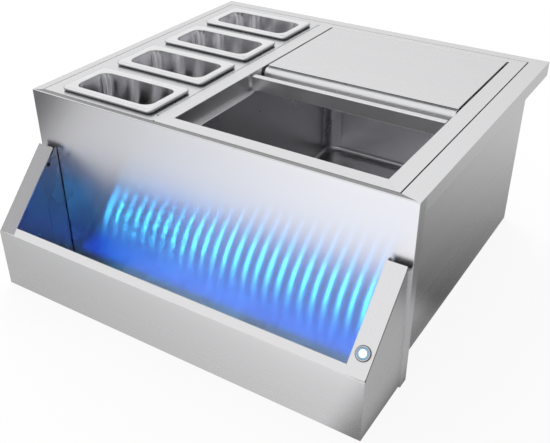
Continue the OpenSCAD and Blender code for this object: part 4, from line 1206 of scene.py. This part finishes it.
def makeDriver():
    low, high = at(*driver["low"]), at(*driver["high"])
    box = startPiece("lightDriver", bpy.ops.mesh.primitive_cube_add, high - low,
                     size=1, location=(low + high) / 2)
    enterEdit(box, "EDGE")
    selectAll()
    bevelSelected(driver["edge"], 3)
    # a groove half way up, where the two mouldings meet, and a sunk panel in the lid
    seam = (low.z + high.z) / 2
    for level in (-driver["seam"], driver["seam"]):
        selectAll()
        bpy.ops.mesh.bisect(plane_co=(0, 0, seam + mm(level)), plane_no=(0, 0, 1), threshold=0.000001)
    bpy.ops.mesh.select_mode(type="FACE")
    selectFaces(box, lambda f: abs(f.calc_center_median().z - seam) < mm(0.3))
    bpy.ops.mesh.extrude_region_shrink_fatten(
        TRANSFORM_OT_shrink_fatten={"value": -mm(driver["seamDeep"])})
    selectFaces(box, lambda f: f.normal.z > 0.99)
    bpy.ops.mesh.inset(thickness=mm(driver["lidInset"]), depth=0)
    bpy.ops.mesh.inset(thickness=mm(0.4), depth=-mm(driver["lidDrop"]))
    bpy.ops.mesh.subdivide(number_cuts=1)
    leaveEdit()
    place(finishPiece(box, [blackPlastic], 30, 8), "led_driver")


def makeInlet():
    w = inlet
    gland = turnedShape("powerInlet", [
        (0.4, w["boreEnd"]), (w["bore"], w["boreEnd"]), (w["bore"], w["bottom"] + 0.5),
        (w["bore"] + 0.5, w["bottom"]), (w["radius"] - 0.5, w["bottom"]), (w["radius"], w["bottom"] + 0.4),
        (w["radius"], w["floor"]), (w["flange"] - 0.1, w["floor"]), (w["flange"], w["floor"] + 0.3),
        (w["flange"], w["floor"] + 1.9), (w["flange"] - 0.6, w["floor"] + 2.5),
        (w["radius"] + 0.3, w["floor"] + 2.5), (w["radius"], w["floor"] + 2.9)]
        + threadSteps(w["radius"], 0.35, w["floor"] + 2.9, w["top"] - 1.8, 1.5)
        + [(w["radius"] - 0.4, w["top"] - 1.2), (w["radius"] - 1.4, w["top"] - 0.3),
           (w["radius"] - 2.2, w["top"]), (0.4, w["top"])])
    standAt(gland, at(w["x"], w["y"], 0))
    place(finishPiece(gland, [blackPlastic], 30, 5), "power_inlet")


makeDriver()
makeInlet()
print("driver and inlet")


# Pads, glides and foam: cut blocks with worn edges
blockEdges = {"lid_bumpers": 0.3, "lower_lid_glides": 0.5, "tub_insulation": 1.5}
for node, name, material, slotName in (
        ("lid_bumpers", "lidBumpers", bumperRubber, "bumper_rubber"),
        ("lower_lid_glides", "lidGlides", nylonWhite, "nylon"),
        ("tub_insulation", "tubInsulation", foamBoard, "foam_board")):
    block = copyOfNode(node, name)
    enterEdit(block, "EDGE")
    if selectEdges(block, lambda e: isFolded(e, 50) and e.is_convex):
        bevelSelected(blockEdges[node], 2)
    leaveEdit()
    place(finishPiece(block, [material], 40, 4), node)
print("pads, glides and foam")


# Finish on the CAD parts that stay, hidden in the rail's right end
keepAsCad = {"led_leads": blackPlastic, "switch_insert": blackPlastic}
for node, material in keepAsCad.items():
    piece = frame["nodes"][node]
    if not piece.material_slots:
        piece.data.materials.append(None)
    for slotPlace in piece.material_slots:
        slotPlace.link = "OBJECT"
        slotPlace.material = material
print("kept CAD parts dressed:", len(keepAsCad))


# Camera, fitted to the straight edges that the photograph shows
view = {
    "place": (0.70927, -1.15150, 0.91585),
    "turn": (57.7679, 0.0263, 32.0447),
    "lens": 51.57,
    "shift": (-0.0030, -0.0037),
    "clip": (0.05, 60),
}
cameraData = bpy.data.cameras.new("photoCamera")
camera = bpy.data.objects.new("photoCamera", cameraData)
bpy.context.scene.collection.objects.link(camera)
camera.location = view["place"]
camera.rotation_euler = [math.radians(a) for a in view["turn"]]
cameraData.lens = view["lens"]
cameraData.sensor_width = 36
cameraData.shift_x, cameraData.shift_y = view["shift"]
cameraData.clip_start, cameraData.clip_end = view["clip"]
bpy.context.scene.camera = camera


# Floor, sky and lamps; distances on the floor are in metres
studio = {
    "floorColour": "#F4F4F4", "floorSize": 24, "cameraLift": 0.88, "glossyLift": 0.92,
    # painted light and shade on the floor, found only by metal and glass: before the rail a painted pool of light
    # to the left, painted shadow close to the rail, and painted dark past its left end
    "poolAside": (-0.85, 0.53, 0.0), "poolRun": (-0.45, 0.30), "poolLevels": (1.0, 0.62),
    "poolEnd": (0.28, 0.44), "poolEdge": 0.06, "nearRun": (0.45, 0.56), "nearRail": 0.74,
    # and to the right of it: painted shadow at the cabinet's foot, brighter further back
    "shadeStart": (0.30, 0.37), "footRun": (0.375, 0.41), "footLevels": (0.20, 0.50), "shadeFront": (-0.07, 0.03),
    "shadeAside": (0.50, 0.86, 0.0), "shadeRun": (0.13, 0.95), "shade": (0.03, 0.60),
    "skyTowards": (-0.75, -0.15, 0.64), "skyRun": (-0.5, 0.5), "skyLevels": (0.36, 0.98),
    "horizonRun": (0.0, 0.26), "horizonDark": 0.12,
    "keyPower": 42.0, "keyPlace": (-1.5, 1.5, 2.4), "keySize": 1.8,
}


def rampAlong(tree, coords, direction, run, levels, kind="SMOOTHSTEP"):
    # a value that goes from one level to the other as the coordinates run in one direction
    way = addNode(tree, "ShaderNodeVectorMath", {0: coords, 1: direction}, operation="DOT_PRODUCT")
    ramp = addNode(tree, "ShaderNodeMapRange", {
        "Value": way.outputs["Value"], "From Min": run[0], "From Max": run[1],
        "To Min": levels[0], "To Max": levels[1]}, interpolation_type=kind)
    return ramp.outputs["Result"]


def makeFloor():
    # painted concrete, matt and nearly white; the camera sees it plain white, and metal finds on it a painted map
    # of light and shadow
    s = studio
    floor = startPiece("studioFloor", bpy.ops.mesh.primitive_plane_add, size=s["floorSize"])
    material = bpy.data.materials.new("paleStudioFloor")
    tree = emptyTree(material)
    coords = addNode(tree, "ShaderNodeTexCoord").outputs["Object"]
    pool = rampAlong(tree, coords, s["poolAside"], s["poolRun"], s["poolLevels"], "LINEAR")
    end = rampAlong(tree, coords, s["poolAside"], s["poolEnd"], (1.0, s["poolEdge"]))
    near = rampAlong(tree, coords, (0, -1, 0), s["nearRun"], (s["nearRail"], 1.0))
    shade = rampAlong(tree, coords, s["shadeAside"], s["shadeRun"], s["shade"], "LINEAR")
    foot = rampAlong(tree, coords, (1, 0, 0), s["footRun"], s["footLevels"])
    isBack = rampAlong(tree, coords, (0, 1, 0), s["shadeFront"], (0.0, 1.0))
    isRight = rampAlong(tree, coords, (1, 0, 0), s["shadeStart"], (0.0, 1.0))
    poolNear = addNode(tree, "ShaderNodeMath", {0: pool, 1: near}, operation="MULTIPLY")
    front = addNode(tree, "ShaderNodeMath", {0: poolNear.outputs[0], 1: end}, operation="MULTIPLY")
    side = addNode(tree, "ShaderNodeMix", {0: isBack, 2: foot, 3: shade}, data_type="FLOAT")
    found = addNode(tree, "ShaderNodeMix", {0: isRight, 2: front.outputs[0], 3: side.outputs[0]},
                    data_type="FLOAT")

    path = addNode(tree, "ShaderNodeLightPath")
    byCamera = path.outputs["Is Camera Ray"]
    strength = addNode(tree, "ShaderNodeMath", {0: byCamera, 1: found.outputs[0]}, operation="MAXIMUM")
    glow = addNode(tree, "ShaderNodeEmission", {"Color": (1, 1, 1, 1), "Strength": strength.outputs[0]})
    paint = addNode(tree, "ShaderNodeBsdfPrincipled", {
        "Base Color": toLinear(s["floorColour"]), "Roughness": 0.9, "Specular IOR Level": 0.0})
    # how much of the glow lies over the paint, for the camera and for what metal and glass find
    seen = addNode(tree, "ShaderNodeMath", {0: byCamera, 1: s["cameraLift"]}, operation="MULTIPLY")
    through = addNode(tree, "ShaderNodeMath", {
        0: path.outputs["Is Glossy Ray"], 1: path.outputs["Is Transmission Ray"]}, operation="MAXIMUM")
    lift = addNode(tree, "ShaderNodeMath", {
        0: through.outputs[0], 1: s["glossyLift"], 2: seen.outputs[0]}, operation="MULTIPLY_ADD")
    mix = addNode(tree, "ShaderNodeMixShader", {
        0: lift.outputs[0], 1: paint.outputs["BSDF"], 2: glow.outputs["Emission"]})
    addNode(tree, "ShaderNodeOutputMaterial", {"Surface": mix.outputs["Shader"]})
    floor.data.materials.append(material)


def makeSky():
    # a big soft source high to the left, and a dark band low down, which draws a dark line along each bend
    s = studio
    world = bpy.data.worlds.new("studioSky")
    tree = emptyTree(world)
    coords = addNode(tree, "ShaderNodeTexCoord").outputs["Generated"]
    level = rampAlong(tree, coords, s["skyTowards"], s["skyRun"], s["skyLevels"])
    band = rampAlong(tree, coords, (0, 0, 1), s["horizonRun"], (s["horizonDark"], 1.0))
    lit = addNode(tree, "ShaderNodeMath", {0: level, 1: band}, operation="MULTIPLY")
    light = addNode(tree, "ShaderNodeBackground", {"Color": (1, 1, 1, 1), "Strength": lit.outputs[0]})
    white = addNode(tree, "ShaderNodeBackground", {"Color": (1, 1, 1, 1), "Strength": 1.0})
    path = addNode(tree, "ShaderNodeLightPath")
    mix = addNode(tree, "ShaderNodeMixShader", {
        0: path.outputs["Is Camera Ray"], 1: light.outputs["Background"], 2: white.outputs["Background"]})
    addNode(tree, "ShaderNodeOutputWorld", {"Surface": mix.outputs["Shader"]})
    bpy.context.scene.world = world


def areaLamp(name, size, power, colour, spot, turn):
    data = bpy.data.lights.new(name, "AREA")
    data.shape = "RECTANGLE"
    data.size, data.size_y = size
    data.energy = power
    data.color = colour
    lamp = bpy.data.objects.new(name, data)
    bpy.context.scene.collection.objects.link(lamp)
    lamp.location = spot
    lamp.rotation_euler = turn
    return lamp


def makeKeyLamp():
    size, spot = studio["keySize"], studio["keyPlace"]
    aim = (Vector((0, 0, 0.2)) - Vector(spot)).to_track_quat("-Z", "Y").to_euler()
    lamp = areaLamp("keySoftbox", (size, size), studio["keyPower"], (1, 1, 1), spot, aim)
    lamp.visible_glossy = False


# The rail's own light: a small lamp before each chip, shining at the panel, and a low blue glow on
# the trough's floor, for the light that its walls pass round
railLight = {
    "y": -117.0, "power": 0.0102, "size": (1.6, 4.0), "colour": (0.03, 0.42, 0.88),
    "glowPlace": (381.0, -58.0, -343.0), "glowPower": 0.11, "glowSize": (680.0, 80.0),
    "glowColour": (0.0, 0.07, 1.0),
}


def makeRailLights():
    r = railLight
    for k in range(chip["count"]):
        spot = at(chip["first"] + k * chipPitch, r["y"], chip["z"])
        lamp = areaLamp("railLed%02d" % k, [mm(side) for side in r["size"]], r["power"], r["colour"],
                        spot, (math.radians(90), 0, 0))
        lamp.visible_camera = False
    lamp = areaLamp("railGlow", [mm(side) for side in r["glowSize"]], r["glowPower"], r["glowColour"],
                    at(*r["glowPlace"]), (math.radians(180), 0, 0))
    lamp.visible_camera = False


makeFloor()
makeSky()
makeKeyLamp()
makeRailLights()
print("camera, floor, sky, lamps and", chip["count"], "rail lights")

bpy.context.scene.view_settings.view_transform = "Standard"
